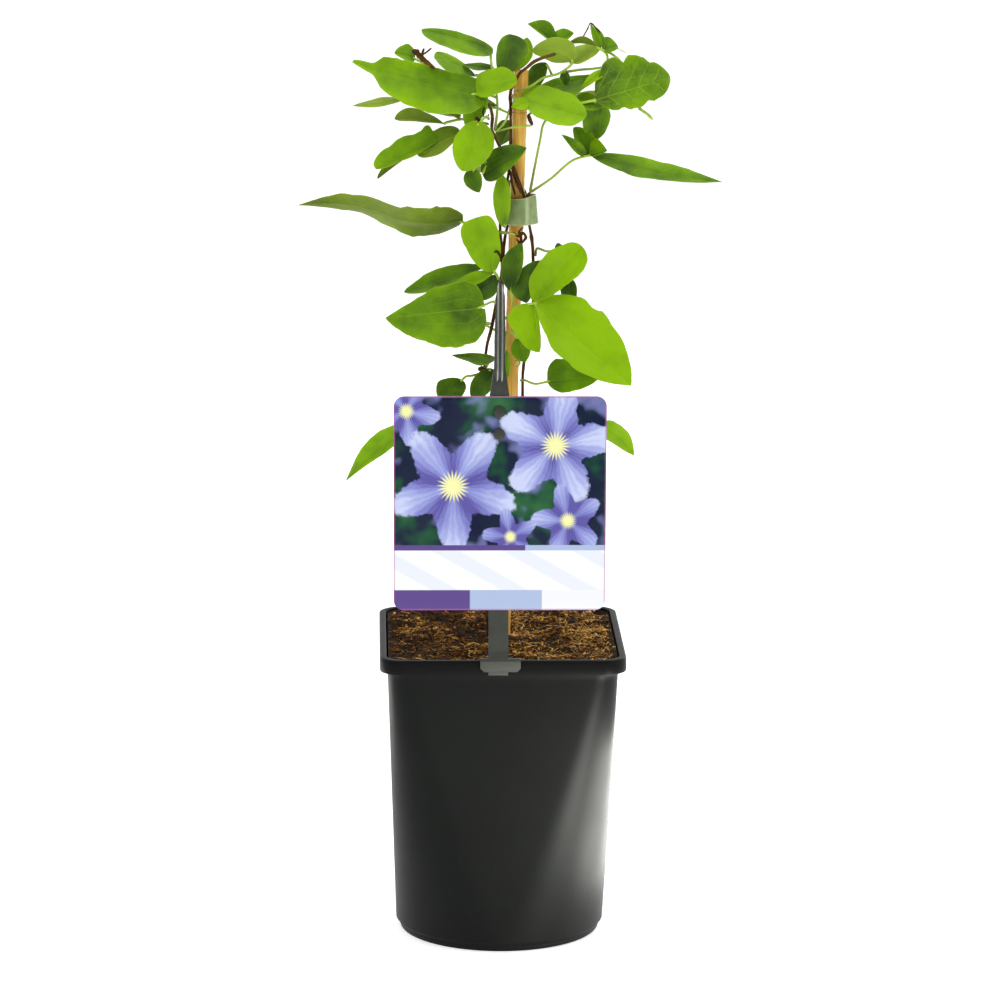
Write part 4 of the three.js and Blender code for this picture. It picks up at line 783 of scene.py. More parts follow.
        leaf((26, 24.6, 335.6), (51, 42, 320), (12, 12), (0.1, 0.5, 0.86), 0.45, heart=0.1),
        leaf((24, 23, 335), (30, 54, 318), (11, 11), (0.1, 0.75, 0.66), 0.5),
    ],
    "spray_back_foot": [
        stalk((6, 9.8, 270), (10, 22, 268), (12, 32, 262)),
        leaf((11.6, 30, 263), (34, 50, 246), (10, 10), (0.2, 0.7, 0.7), 0.45),
        leaf((11.6, 28, 264), (-8, 56, 248), (11, 11), (-0.1, 0.75, 0.66), 0.5, heart=0.1),
    ],
}

leafSkin = newMaterial("leafSkin", leafRecipe)
stalkSkin = newMaterial("stalkSkin", stalkRecipe)
for number, (node, pieces) in enumerate(sprays.items()):
    leaves = [piece for piece in pieces if "tip" in piece]
    stalks = [piece for piece in pieces if "points" in piece]
    blades = joined([bladePart(spec, number * 7 + i + 1) for i, spec in enumerate(leaves)])
    rods = joined([stalkPart(spec, number + i * 0.1) for i, spec in enumerate(stalks)])
    addPart(node + "_blades", blades, leafSkin, "leaf", node)
    addPart(node + "_stalks", rods, stalkSkin, "leaf", node)
print("leaves ready")

# stems

stemShape = {
    "radius": 0.95, "wander": 0.12, "wanderCell": 6, "swelling": 0.28, "swellingWidth": 1.5,
    "swellingEvery": 61, "swellingStep": 13, "sides": 12, "perSpan": 12, "footDepth": 44,
    "soilLevel": 160.2,
}
stemCourses = {
    "stem_main": [
        (-2.5, -9, 161), (-1.8, -8, 182), (-1.3, -7, 225), (-0.9, -6, 263), (-0.5, -6, 301),
        (-0.2, -6, 333), (-0.3, -6, 365), (-1.4, -6.2, 383), (-1.3, -6.4, 396),
        (1, -5.6, 403), (2.8, -4.6, 410), (3.9, -3.5, 423), (4, -3.2, 444), (4, -3.8, 455),
        (5.9, -5.8, 459), (8.5, -6, 464), (12.3, -5, 467), (16, -4.5, 470), (20.7, -4, 472),
        (27.5, -3, 474),
    ],
    "stem_right": [
        (3.8, 8, 161), (4.6, 7.8, 190), (9.6, 5, 232), (11.3, 2, 262), (11.2, 1, 291),
        (11.4, 1, 305), (12.9, 1, 316), (15.5, 1, 332), (16.9, 1, 348), (16.3, 1, 366),
        (16, 0.5, 372), (15, -0.6, 379), (13.6, -2.6, 386), (12, -4.6, 395), (10, -6.2, 403),
        (6, -8.5, 413), (2, -8.5, 421), (-1.4, -7.5, 425), (-4, -6, 430), (-5.9, -5, 434),
        (-5.7, -5, 441), (-6.5, -6, 445), (-7.8, -7, 448),
    ],
    "stem_left": [
        (-6.8, 1, 161), (-8, 2, 201), (-9.2, 0, 251), (-9.4, -3, 290), (-9, -3, 308),
        (-8, -3, 319), (-5.5, -3, 329), (-2.8, -3, 344), (-1.2, -3, 352), (0.3, -2, 364),
        (0.9, -0.6, 373), (2, 3, 379), (3.4, 5.4, 384), (4.6, 5.8, 393), (5.1, 5.8, 406),
        (6, 5.7, 428), (5.9, 6, 449),
    ],
    "stem_back": [
        (-2, 8.5, 161), (1.5, 9.5, 205), (7, 8.5, 245), (7.9, 7, 290), (7.9, 6.6, 331),
        (8, 6.4, 363), (8.9, 6.1, 384), (10, 6, 393), (10.3, 6.5, 422), (11.3, 7, 443),
        (12.3, 8, 456),
    ],
}


# A stem is a rod along its course, whose radius wanders and swells at evenly spaced joints.
def stemPart(course, number):
    s = stemShape
    # the foot runs straight down into the compost, by way of a point half as deep
    x, y, _ = course[0]
    foot = [(x, y, s["soilLevel"] - s["footDepth"] / part) for part in (1, 2)]
    line = smoothLine(foot + course, s["perSpan"])
    run = lengthAlong(line)
    every = s["swellingEvery"]
    joint = np.abs((run + s["swellingStep"] * number) % every - every / 2)
    wander = 2 * s["wander"] * hills(run, run * 0 + number, s["wanderCell"], 8)
    radius = s["radius"] - s["wander"] + wander
    radius = radius + s["swelling"] * np.exp(-(joint / s["swellingWidth"]) ** 2)
    return rod(line, radius, s["sides"], number)


# Stem bark: reddish brown with long pale and dark fibres, greener near the tip.
def barkRecipe(w):
    share = w.split(w.tag("tone"))[0]
    place = w.tag("place")
    fibre = w.noise(w.stretch(place, 0.5, 2.2, 2.2), 2.2, 4, 0.6)
    mix = fibre * 0.75 + w.noise(place, 0.7, 2) * 0.35
    colour = w.colours(mix, (0.25, tint(24, 13, 4)), (0.5, tint(58, 33, 9)),
                       (0.72, tint(112, 76, 30)))
    colour = w.blend(w.ramp(share, 0.9, 1, 0.4), colour, tint(110, 96, 36))
    return w.skin(colour, 0.6, 0.1, (fibre, 0.7, 0.0004))


stemBark = newMaterial("stemBark", barkRecipe)
for number, (node, course) in enumerate(stemCourses.items()):
    addPart(node + "_bark", stemPart(course, number), stemBark, "stem", node)

# small things that hang on the stems: radius at the ends, radius in the middle, course
twigs = [
    (0.5, 1.4, (-48, -5, 476.2), (-45, -5, 473.7), (-42, -6, 471.2), (-38, -7.5, 468.3),
     (-36, -10, 466.6)),
    (0.35, 0.7, (-42, -6, 471.2), (-42.5, -6, 474.2), (-41.6, -6, 477.2)),
    (0.3, 0.5, (-43, -5, 473.2), (-40, -5, 475.2), (-37.6, -5, 477.2)),
    (0.35, 0.4, (-8, -7, 448), (-10.6, -8, 445), (-10.2, -9, 441.6), (-8.6, -9, 441),
     (-7.6, -8, 443)),
    (0.6, 0.75, (4.4, -5.4, 415), (6.6, -6.6, 408), (9.6, -8.6, 401)),
    (0.5, 0.7, (3.8, -5.4, 413), (5, -6.8, 405), (6.6, -8.4, 400)),
    (0.4, 1.3, (13, -6, 442.6), (14, -7, 439.8), (15.4, -7, 436.8)),
    (0.4, 1.5, (-14.4, -12, 442), (-13.4, -12.4, 440), (-12.6, -12, 438)),
    (0.4, 0.9, (5.4, -6, 380), (8, -8, 378.4), (10.6, -8, 380), (12.2, -7, 377.4),
     (9.2, -8, 374.8), (7, -8, 377)),
    (0.35, 0.7, (7.4, -7, 373), (9.6, -8.6, 376.4), (8.6, -8, 380.6), (11, -7, 383)),
    (0.4, 0.6, (-4.6, -10.6, 370), (-3.2, -10.4, 370.6), (-1.4, -8.6, 367.8), (-1.2, -7, 364.6)),
    (0.5, 0.8, (14.4, -5.6, 401.4), (13.2, -5.6, 399.6), (11.4, -5.4, 397)),
    (0.4, 1.6, (-13, -8, 307), (-10.8, -8, 307.4), (-8.6, -8, 306.4)),
    (0.6, 1.6, (-48, -5, 475.6), (-45.6, -5, 475), (-43, -6, 472.2)),
    (0.35, 0.35, (42, 11, 481), (44.6, 12, 485.4), (46.2, 12, 488.6), (49, 12, 486.4),
     (51.4, 12, 483.6)),
]
smallRodShape = {"perSpan": 6, "sides": 7, "wobble": 0.5, "wobbles": 9}
tendrils = [
    (0.5, 0.6, (3, -6, 445.4), (2, -7, 440.8), (-0.6, -7, 436.6), (-3.8, -7, 433.4)),
    (0.5, 0.6, (-3.8, -7, 433.4), (3.4, -8, 435.6), (9.4, -8, 436.6), (15, -8, 436.8)),
    (0.4, 0.5, (-1.6, -7, 379.4), (2.6, -8, 380), (7, -8, 379)),
    (0.6, 0.9, (69.6, -11.4, 449.2), (71.4, -11, 446.2), (75.2, -10, 443.4), (78.4, -9, 440.2)),
    (0.2, 0.25, (58.6, 12, 476.6), (62, 12, 474.6), (65, 12, 473)),
    (0.4, 0.45, (6.8, -7, 311.6), (8.8, -7, 312), (9.4, -7, 310), (7.8, -7, 308.2),
     (6.4, -7, 309.4)),
]


# Each is a rod along a smooth line, whose radius changes as one less the square of the share
# from its middle, and wobbles with random hills.
def smallRods(entries):
    s = smallRodShape
    rods = []
    for number, (ends, middle, *course) in enumerate(entries):
        line = smoothLine(course, s["perSpan"])
        share = np.linspace(-1, 1, len(line))
        wobble = 1 + s["wobble"] * hills(share * s["wobbles"], share * 0 + number, 1, 5)
        radius = (ends + (middle - ends) * (1 - share ** 2)) * wobble
        rods.append(rod(line, radius, s["sides"], number))
    return joined(rods)


addPart("twigs_brown", smallRods(twigs), stemBark, "stem")
addPart("tendrils_green", smallRods(tendrils), stalkSkin, "leaf")
print("stems ready")

# cane

cane = {
    "radius": 3.85, "joints": (128, 262, 392, 446), "ridge": 0.35, "ridgeWidth": 1.1,
    "waist": 0.2, "waistAbove": 2.2, "waistWidth": 1.0, "swelling": 0.08, "swellingBelow": 2.5,
    "swellingWidth": 6, "foot": 20, "footRadius": 2.0, "top": 465, "x": 1.3, "lean": 0.0268,
    "soilLevel": 160.2, "uneven": 0.06, "around": 40, "step": 1.5, "bore": 1.7, "boreDepth": 9,
}


# Bamboo is a turned profile: straight between its joints, each joint a ridge with a waist
# just above it. The whole leans, its axis moving sideways with height. The cut top end turns
# in over a rounded edge and down into a narrow bore.
def canePart():
    c = cane
    top = c["top"]
    z = np.arange(c["foot"], top - 0.3, c["step"])
    joints = np.array(c["joints"])[:, None]
    z = np.sort(np.concatenate([z, (joints + np.linspace(-4, 5, 19)[None, :]).ravel()]))
    near = np.exp(-((z - joints) / c["ridgeWidth"]) ** 2).sum(axis=0)
    above = np.exp(-((z - joints - c["waistAbove"]) / c["waistWidth"]) ** 2).sum(axis=0)
    below = np.exp(-np.abs(z - joints + c["swellingBelow"]) / c["swellingWidth"]).sum(axis=0)
    radius = c["radius"] + c["ridge"] * near - c["waist"] * above + c["swelling"] * below
    end = [(c["radius"] - 0.05, top - 0.25), (c["radius"] - 0.3, top), (c["bore"] + 0.3, top),
           (c["bore"], top - 0.4), (c["bore"] - 0.2, top - c["boreDepth"]),
           (0.3, top - c["boreDepth"] - 0.5)]
    radius = np.concatenate([[c["footRadius"]], radius, [r for r, _ in end]])[:, None]
    z = np.concatenate([[c["foot"]], z, [height for _, height in end]])[:, None]
    near = np.concatenate([[0], near, [0, 0.3, 0.6, 1, 1, 1]])[:, None]
    angle = np.arange(c["around"]) * 2 * np.pi / c["around"]
    uneven = c["uneven"] * hills(z + 0 * angle, 4 * np.cos(angle) + 9 + 0 * z, 7, 12)
    r = radius + uneven * (radius > 3)
    x = r * np.cos(angle) + c["x"] + (z - c["soilLevel"]) * c["lean"]
    tags = {
        "place": listed(z / 10, np.cos(angle), np.sin(angle)),
        "tone": listed(near + 0 * angle, 0, 0),
    }
    return listed(x, r * np.sin(angle), z), ringFaces(len(z), c["around"]), tags


# Bamboo skin: tan to orange, in long streaks, darker at the joints, with a few dark specks.
def bambooRecipe(w):
    place = w.tag("place")
    near = w.split(w.tag("tone"))[0]
    streak = w.noise(w.stretch(place, 0.12, 1.6, 1.6), 3.2, 5, 0.62)
    patch = w.noise(w.stretch(place, 0.35, 1, 1), 1.1, 3)
    colour = w.colours(streak * 0.6 + patch * 0.4, (0.3, tint(140, 84, 22)),
                       (0.45, tint(200, 146, 50)), (0.58, tint(226, 178, 72)),
                       (0.72, tint(242, 208, 116)))
    colour = w.blend(near * 0.55, colour, tint(120, 74, 40))
    speck = w.ramp(w.cells(w.stretch(place, 0.5, 1, 1), 4.5), 0.16, 0.08)
    speck = speck * w.ramp(w.noise(place, 0.8, 2), 0.5, 0.62) * 0.6
    colour = w.blend(speck, colour, tint(92, 56, 34))
    return w.skin(colour, streak * 0.3 + 0.3, 0.4, (streak, 0.3, 0.0004))


addPart("bamboo_cane", canePart(), newMaterial("bamboo", bambooRecipe), "cane", "cane")
print("cane ready")

# band round cane and stems

band = {
    "section": [(1.5, -5.6), (3, -6.6), (10.8, -8.4), (12.2, -7.8), (17.8, 0.4), (17.6, 2.6),
                (13.4, 8), (11.8, 8.8), (3, 8.6), (1.2, 7.2), (0.4, 0)],
    "middle": 8.4, "top": 399.5, "height": 14, "thick": 0.8, "lip": 0.25, "flare": 0.13,
    "rise": 1.6, "riseOver": 9, "perSpan": 8,
}


# The band is a wall carried round a closed smooth line, its section a tall slot with round
# ends. To the right it spreads with depth below its top edge, and that edge rises a little.
def bandPart():
    b = band
    height, lip, half = b["height"], b["lip"], b["thick"] / 2
    section = [(x, y, 0) for x, y in b["section"]]
    line = smoothLine(section[-2:] + section + section[:2], b["perSpan"])
    line = line[2 * b["perSpan"]:-(b["perSpan"] + 1)]
    arm = line - np.array([b["middle"], 0, 0])
    reach = np.linalg.norm(arm, axis=1)
    # out or in from the wall's middle, and depth below the top edge
    profile = np.array([
        (half - lip, 0), (half, lip), (half, height * 0.35), (half, height * 0.7),
        (half, height - lip), (half - lip, height), (lip - half, height),
        (-half, height - lip), (-half, height * 0.5), (-half, lip), (lip - half, 0)])
    shift, depth = profile[:, :1], profile[:, 1:]
    size = (reach - half + shift) / reach
    x, y = arm[:, 0] * size, arm[:, 1] * size
    spread = np.where(x > 0, 1 + b["flare"] * depth / height, 1)
    edge = b["rise"] * np.clip(x / b["riseOver"], 0, 1) * (1 - depth / height)
    z = b["top"] - depth - b["rise"] + edge
    tags = {"place": listed(depth / height + 0 * z, 0, 0)}
    faces = hoopFaces(len(profile), len(line))
    return listed(b["middle"] + x * spread, y, z), faces, tags


# Sheet plastic, grey-green and clouded, lighter along its cut edges, with a painted highlight
# down one upright crease, and a faint grain.
def bandRecipe(w):
    depth = w.split(w.tag("place"))[0]
    place = w.place()
    colour = w.colours(w.noise(place, 260, 3), (0.3, tint(108, 126, 72)),
                       (0.7, tint(130, 150, 90)))
    edge = w.calc("MAXIMUM", w.ramp(depth, 0.045, 0.01), w.ramp(depth, 0.955, 0.99))
    colour = w.blend(edge * 0.6, colour, tint(186, 198, 158))
    across = w.split(place)[0]
    # painted highlight: a pale upright line where the fold catches the light
    paintedCreaseHighlight = w.ramp(across, 0.0112, 0.0124) * w.ramp(across, 0.0142, 0.013, 0.5)
    colour = w.blend(paintedCreaseHighlight, colour, tint(190, 200, 160))
    grain = w.noise(w.stretch(place, 1, 1, 0.3), 900, 2)
    return w.skin(colour, 0.42, 0.45, (grain, 0.25, 0.0002))


addPart("tie_band", bandPart(), newMaterial("bandPlastic", bandRecipe), "band", "cane_band")
print("band ready")

# pot

pot = {
    "height": 162, "rimHalf": 65, "rimBand": 8, "rimTop": 3.6, "bodyHalf": 60.9, "lowRadius": 56,
    "footHeight": 5, "footRadius": 54.4, "cornerTop": 12, "cornerPower": 1.15, "wall": 1.6,
    "recess": 3, "padRadius": 12, "channelRadius": 46, "around": 240, "crowd": 0.8,
    "bodyRings": 60, "holes": 8, "holeRadius": 4, "holeRing": 39, "holeSides": 24,
    "drillReach": (-3, 9), "sharpFrom": 35,
}


# Angles round the pot, closer together where the corners turn: an even angle plus a share of
# the sine of four times itself.
def potAngles():
    even = (np.arange(pot["around"]) + 0.5) * 2 * np.pi / pot["around"]
    return even + pot["crowd"] * np.sin(4 * even) / 4


# Distance from the axis to a rounded square: a over the cosine of the angle from its flat,
# and beyond the flat's end the far crossing of the ray with the corner's circle.
def squareRadius(angle, a, corner):
    fromFlat = np.abs((angle + np.pi / 4) % (np.pi / 2) - np.pi / 4)
    fromCorner = np.pi / 4 - fromFlat
    centre = math.sqrt(2) * (a - corner)
    inside = np.maximum(corner ** 2 - (centre * np.sin(fromCorner)) ** 2, 0)
    turned = centre * np.cos(fromCorner) + np.sqrt(inside)
    return np.where(a * np.tan(fromFlat) <= a - corner, a / np.cos(fromFlat), turned)


# Half width and corner radius of the body at a height, less an inset. Below the rim the half
# width falls in a straight line to the foot, while the corner radius grows as a power of the
# way down until the section is a circle.
def bodySquare(z, inset=0):
    fall = pot["height"] - pot["rimBand"]
    down = (fall - z) / (fall - pot["footHeight"])
    half = pot["bodyHalf"] + (pot["lowRadius"] - pot["bodyHalf"]) * down
    grown = (pot["lowRadius"] - pot["cornerTop"]) * max(0, down) ** pot["cornerPower"]
    return half - inset, pot["cornerTop"] + grown - inset


# The pot is one skin of rounded squares, from the middle of its underside over the foot, up
# the outside, round the rim and down the inside to the floor.
def potPart():
    p = pot
    foot, low, pad, channel = p["footRadius"], p["footHeight"], p["padRadius"], p["channelRadius"]
    recess, wall, half, corner = p["recess"], p["wall"], p["bodyHalf"], p["cornerTop"]
    top, body, rim = p["height"], p["height"] - p["rimBand"], p["rimHalf"]
    inner = rim - p["rimTop"]
    levels = list(np.linspace(low, body - 4, p["bodyRings"]))
    # height, half width, corner radius; where there is no third, the ring is a circle
    rings = [
        (0, 0.6), (0, pad - 0.4), (0.3, pad), (recess, pad + 1), (recess, channel - 1),
        (0.4, channel), (0, channel + 0.5), (0, foot - 1.2), (0.25, foot - 0.85),
        (0.7, foot - 0.7), (1.6, foot - 0.5), (1.8, foot - 0.32), (2.2, foot - 0.35),
        (low - 1.2, foot + 0.2), (low - 0.7, foot + 0.45), (low - 0.35, foot + 1.1),
        *[(z, *bodySquare(z)) for z in levels],
        (body - 1.6, half + 0.1, corner), (body - 0.6, half + 0.6, corner),
        (body - 0.1, half + 1.6, corner), (body, rim - 0.7, corner + 0.3),
        (body + 0.25, rim - 0.2, corner + 0.3), (body + 0.8, rim, corner + 0.3),
        (body + 3, rim, corner + 0.3), (top - 1, rim, corner + 0.3),
        (top - 0.4, rim - 0.2, corner + 0.2), (top, rim - 0.8, corner),
        (top, inner + 0.6, corner - 1.6), (top - 0.3, inner + 0.15, corner - 1.8),
        (top - 1, inner, corner - 2), (body + 1, inner - 0.6, corner - 2),
        *[(z, *bodySquare(z, wall)) for z in reversed(levels[2:])],
        (low + 1, foot - wall), (recess + wall + 1, foot - wall - 0.6),
        (recess + wall, foot - wall - 2), (recess + wall, 0.6)]
    angle = potAngles()
    radius = np.array([squareRadius(angle, ring[1], min(ring[1:])) for ring in rings])
    z = np.array([ring[0] for ring in rings])[:, None]
    points = listed(radius * np.cos(angle), radius * np.sin(angle), z)
    return points, ringFaces(len(rings), len(angle)), {}


# Drain holes are cut by round rods standing in a ring.
def drillDrains(piece, material):
    p = pot
    turns = [(i + 0.5) * 2 * math.pi / p["holes"] for i in range(p["holes"])]
    feet = [(p["holeRing"] * math.cos(t), p["holeRing"] * math.sin(t)) for t in turns]
    lines = [[(x, y, z) for z in np.linspace(*p["drillReach"], 5)] for x, y in feet]
    rods = joined([rod(line, p["holeRadius"], p["holeSides"]) for line in lines])
    drill = newObject("drill", makeMesh("drill", rods))
    cut = piece.modifiers.new("drains", "BOOLEAN")
    cut.object = drill
    cut.solver = "EXACT"
    bpy.context.view_layer.update()
    ready = bpy.data.meshes.new_from_object(piece.evaluated_get(
        bpy.context.evaluated_depsgraph_get()))
    piece.modifiers.clear()
    piece.data = ready
    bpy.data.objects.remove(drill)
    ready.set_sharp_from_angle(angle=math.radians(p["sharpFrom"]))
    ready.materials.clear()
    ready.materials.append(material)


# Black moulded plastic: soft sheen, faint scuffs and dust, a slightly uneven skin, and painted
# shade that darkens the rim band.
def potRecipe(w):
    place = w.place()
    height = w.split(place)[2]
    colour = w.colours(w.noise(place, 18, 4), (0.3, (0.0033, 0.0043, 0.0036, 1)),
                       (0.7, (0.0053, 0.0067, 0.0057, 1)))
    # painted shade: the rim band above the body is made darker, standing in for the weaker gloss
    # it shows
    colour = w.blend(w.ramp(height, 0.1535, 0.155, 0.7), colour, (0.001, 0.0013, 0.001, 1))
    dust = w.ramp(w.noise(w.stretch(place, 1, 1, 0.4), 420, 4, 0.7), 0.6, 0.8)
    dust = dust * w.ramp(height, 0.16, 0.0, 0.25)
    colour = w.blend(dust, colour, (0.05, 0.045, 0.035, 1))
    rough = w.noise(place, 60, 5, 0.65) * 0.12 + 0.4
    return w.skin(colour, rough, 0.1, (w.noise(place, 900, 3), 0.12, 0.0003))


potSkin = newMaterial("potPlastic", potRecipe)
drillDrains(addPart("nursery_pot", potPart(), potSkin, "pot", "pot"), potSkin)
print("pot ready")

# compost

soil = {
    "level": 160.2, "top": 162.2, "reach": 60.5, "inset": 1.9, "floor": 4.9, "relief": 1.7,
    "edgeRise": 0.9, "edgeShare": 30, "around": 320, "rings": 110, "ringPower": 1.1,
    "wallFrom": 20, "neck": 150, "wallRings": 8, "crumbs": 3250, "crumbSize": (0.25, 0.9),
    "crumbSunk": 0.35, "crumbSides": 8, "crumbRings": (0.88, 0.64, 0.36, 0.12),
    "fibres": 4000, "fibreLength": (2.5, 9), "fibreRadius": (0.06, 0.17), "strands": 70,
    "strandLength": (8, 24), "strandRadius": (0.12, 0.26), "curl": 2.4, "rise": 1.2, "tilt": 0.4,
    "pocket": (-3, 6.2, -58.3, 157.2),  # middle, half width, back and floor, in x, x, y and z
    # cell and share of the relief
    "hills": [(26, 1.0), (11, 0.9), (5, 0.7), (2.4, 0.5), (1.2, 0.35)],
}


# The compost's surface is hills of five sizes, the smaller the lower.
def soilHeight(x, y):
    z = sum(share * hills(x + 200, y + 200, cell, 30 + i)
            for i, (cell, share) in enumerate(soil["hills"]))
    return soil["level"] + soil["relief"] * z


# whether a point lies in the pocket where the clip's leg stands
def inPocket(x, y):
    middle, halfWidth, back, _ = soil["pocket"]
    return (np.abs(x - middle) < halfWidth) & (y < back)


# One skin from the middle of the underside, up the wall of the pot, and over the rough top
# in rings that shrink to the middle.
def soilPart():
    s = soil
    angle = np.arange(s["around"]) * 2 * np.pi / s["around"]
    reach = squareRadius(angle, s["reach"], pot["cornerTop"] - 2)
    ring = lambda z, r: listed(r * np.cos(angle), r * np.sin(angle), z)
    foot = pot["footRadius"] - s["inset"]
    rings = [ring(s["floor"], 1), ring(s["floor"], foot - 2), ring(pot["footHeight"] + 1, foot)]
    for z in np.linspace(s["wallFrom"], s["neck"], s["wallRings"]):
        rings.append(ring(z, squareRadius(angle, *bodySquare(z, s["inset"]))))
    share = (1 - np.linspace(0, 1, s["rings"]) ** s["ringPower"] * 0.995)[:, None]
    x, y = share * reach * np.cos(angle), share * reach * np.sin(angle)
    edge = np.clip((1 - share) * s["edgeShare"], 0, 1) ** 0.5
    z = s["level"] + s["edgeRise"] + (soilHeight(x, y) - s["level"] - s["edgeRise"]) * edge
    z = np.where(inPocket(x, y), np.minimum(z, s["pocket"][3]), z)
    rings += list(np.stack([x, y, z], -1))
    return np.concatenate(rings), ringFaces(len(rings), s["around"]), {}


# Random places on the compost: a turn, and the root of a random share of the way to the wall.
def scattered(dice, count, inset, most=1):
    angle, share = dice.random(count) * 2 * np.pi, np.sqrt(dice.random(count)) * most
    reach = squareRadius(angle, soil["reach"] - inset, pot["cornerTop"] - 2)
    return share * reach * np.cos(angle), share * reach * np.sin(angle)


# Crumbs are small uneven balls, sunk a little in the surface; each is four rings of eight
# points whose distance from the middle varies. Rings are given as shares of the way down.
def crumbPart(count, seed):
    dice = np.random.default_rng(seed)
    low, high = soil["crumbSize"]
    size = low + (high - low) * dice.random(count) ** 3
    x, y = scattered(dice, count, 0.3)
    y = np.where(inPocket(x, y), y + 6, y)
    z = soilHeight(x, y) + size * soil["crumbSunk"]
    lift = np.cos(np.array(soil["crumbRings"]) * np.pi)[:, None]
    wide = np.sqrt(1 - lift ** 2)
    rings, sides = len(lift), soil["crumbSides"]
    around = np.arange(sides) * 2 * np.pi / sides
    rough = 0.65 + 0.6 * dice.random((count, rings, sides))
    turn = dice.random(count)[:, None, None] * 6.28
    squash = 0.5 + 0.5 * dice.random(count)[:, None, None]
    x, y, z, size = (values[:, None, None] for values in (x, y, z, size))
    spoke = rough * wide * size
    px = x + spoke * np.cos(around + turn)
    py = y + spoke * np.sin(around + turn) * (0.6 + 0.4 * squash)
    pz = np.minimum(z + rough * lift * size * squash, soil["top"])
    each = rings * sides
    tags = {"tone": listed(dice.random(count)[:, None] + np.zeros(each), 0, 0)}
    return listed(px, py, pz), repeated(ringFaces(rings, sides), each, count), tags


# Fibres are bent four-sided rods lying on the surface: each follows a short arc that turns
# as it goes and hugs the ground with a small rise in its middle.
def fibrePart(count, seed, lengths, radii, paleness, steps):
    curl, high, tilt = soil["curl"], soil["rise"], soil["tilt"]
    dice = np.random.default_rng(seed)
    between = lambda low, high, power=1: low + (high - low) * dice.random(count) ** power
    length = between(*lengths, 2)[:, None]
    radius = between(*radii, 2)[:, None]
    x, y = scattered(dice, count, 2, 0.97)
    heading, turn = between(0, 2 * np.pi)[:, None], between(-curl, curl)[:, None]
    t = np.linspace(-0.5, 0.5, steps)[None, :]
    way = heading + turn * t
    step = length / (steps - 1)
    dx, dy = np.cumsum(np.cos(way) * step, axis=1), np.cumsum(np.sin(way) * step, axis=1)
    middle = steps // 2 - 1
    px, py = x[:, None] + dx - dx[:, middle, None], y[:, None] + dy - dy[:, middle, None]
    limit = soil["reach"] - 0.6
    px, py = np.clip(px, -limit, limit), np.clip(py, -limit, limit)
    py = np.where(inPocket(px, py), soil["pocket"][2] + 0.5, py)
    rise = between(0, high, 2)[:, None] * (1 - (2 * t) ** 2)
    rise = rise + between(-tilt, tilt)[:, None] * t * 2
    pz = np.minimum(soilHeight(px, py) + radius * 0.4 + rise, soil["top"])
    line = np.stack([px, py, pz], -1)
    ahead = unit(np.gradient(line, axis=1))
    side = unit(np.cross(np.array([0, 0, 1.0]), ahead))
    up = np.cross(ahead, side)
    slim = radius * (1 - 0.65 * (2 * t) ** 6)
    corner = (np.arange(4) * np.pi / 2 + 0.78)[:, None]
    spoke = np.cos(corner) * side[:, :, None] + np.sin(corner) * up[:, :, None]
    points = (line[:, :, None] + slim[..., None, None] * spoke).reshape(-1, 3)
    each = steps * 4
    tags = {"tone": listed(dice.random(count)[:, None] + paleness + np.zeros(each), 0, 0)}
    return points, repeated(ringFaces(steps, 4), each, count), tags


# Compost: dark crumbly brown with lighter patches of fibre.
def compostRecipe(w):
    place = w.place()
    coarse = w.noise(place, 120, 5, 0.7)
    fine = w.noise(w.stretch(place, 1, 1, 2), 700, 5, 0.75)
    mix = coarse * 0.45 + fine * 0.55
    colour = w.colours(mix, (0.36, tint(12, 7, 3)), (0.5, tint(34, 21, 9)),
                       (0.6, tint(76, 50, 20)), (0.72, tint(128, 90, 38)))
    return w.skin(colour, 0.85, 0.1, (mix, 0.9, 0.0012))


# Crumbs and fibres: each has its own shade between nearly black and straw gold, and those towards
# the right are painted lighter, as painted light.
def bitsRecipe(w):
    kind = w.split(w.tag("tone"))[0]
    place = w.place()
    grain = w.noise(place, 900, 3, 0.6)
    patch = w.noise(place, 55, 2) * 1.7 - 1.0
    # painted light: crumbs and fibres towards the right side are lighter, where the light falls
    patch = patch + w.ramp(w.split(place)[0], -0.05, 0.05, 0.3)
    mix = kind + (grain * 0.3 - 0.15) + patch
    colour = w.colours(mix, (0.05, tint(14, 8, 2)), (0.38, tint(62, 35, 9)),
                       (0.62, tint(130, 82, 24)), (0.86, tint(202, 142, 58)),
                       (1, tint(240, 194, 112)))
    return w.skin(colour, 0.8, 0.1, (grain, 0.5, 0.0004))


addPart("compost", soilPart(), newMaterial("compost", compostRecipe), "soil", "soil")
bits = newMaterial("compostBits", bitsRecipe)
addPart("compost_crumbs", crumbPart(soil["crumbs"], 41), bits, "soil")
fibres = joined([
    fibrePart(soil["fibres"], 42, soil["fibreLength"], soil["fibreRadius"], 0, 6),
    fibrePart(soil["strands"], 43, soil["strandLength"], soil["strandRadius"], 0.35, 10)])
addPart("compost_fibres", fibres, bits, "soil")
print("compost ready")

# label, stake and tongue


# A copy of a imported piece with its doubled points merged, its edges rounded by a bevel, and
# flat faces kept flat.
def roundedCopy(name, node, width, segments, material, slot):
    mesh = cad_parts[node].data.copy()
    mesh.name = name
    piece = addPiece(name, mesh, material, slot, node)
    weld = piece.modifiers.new("merge", "WELD")
    weld.merge_threshold = 0.00001
    bevel = piece.modifiers.new("edges", "BEVEL")
    bevel.width = width * mm
    bevel.segments = segments
    bevel.angle_limit = math.radians(40)
    bevel.harden_normals = True
    mesh.shade_smooth()


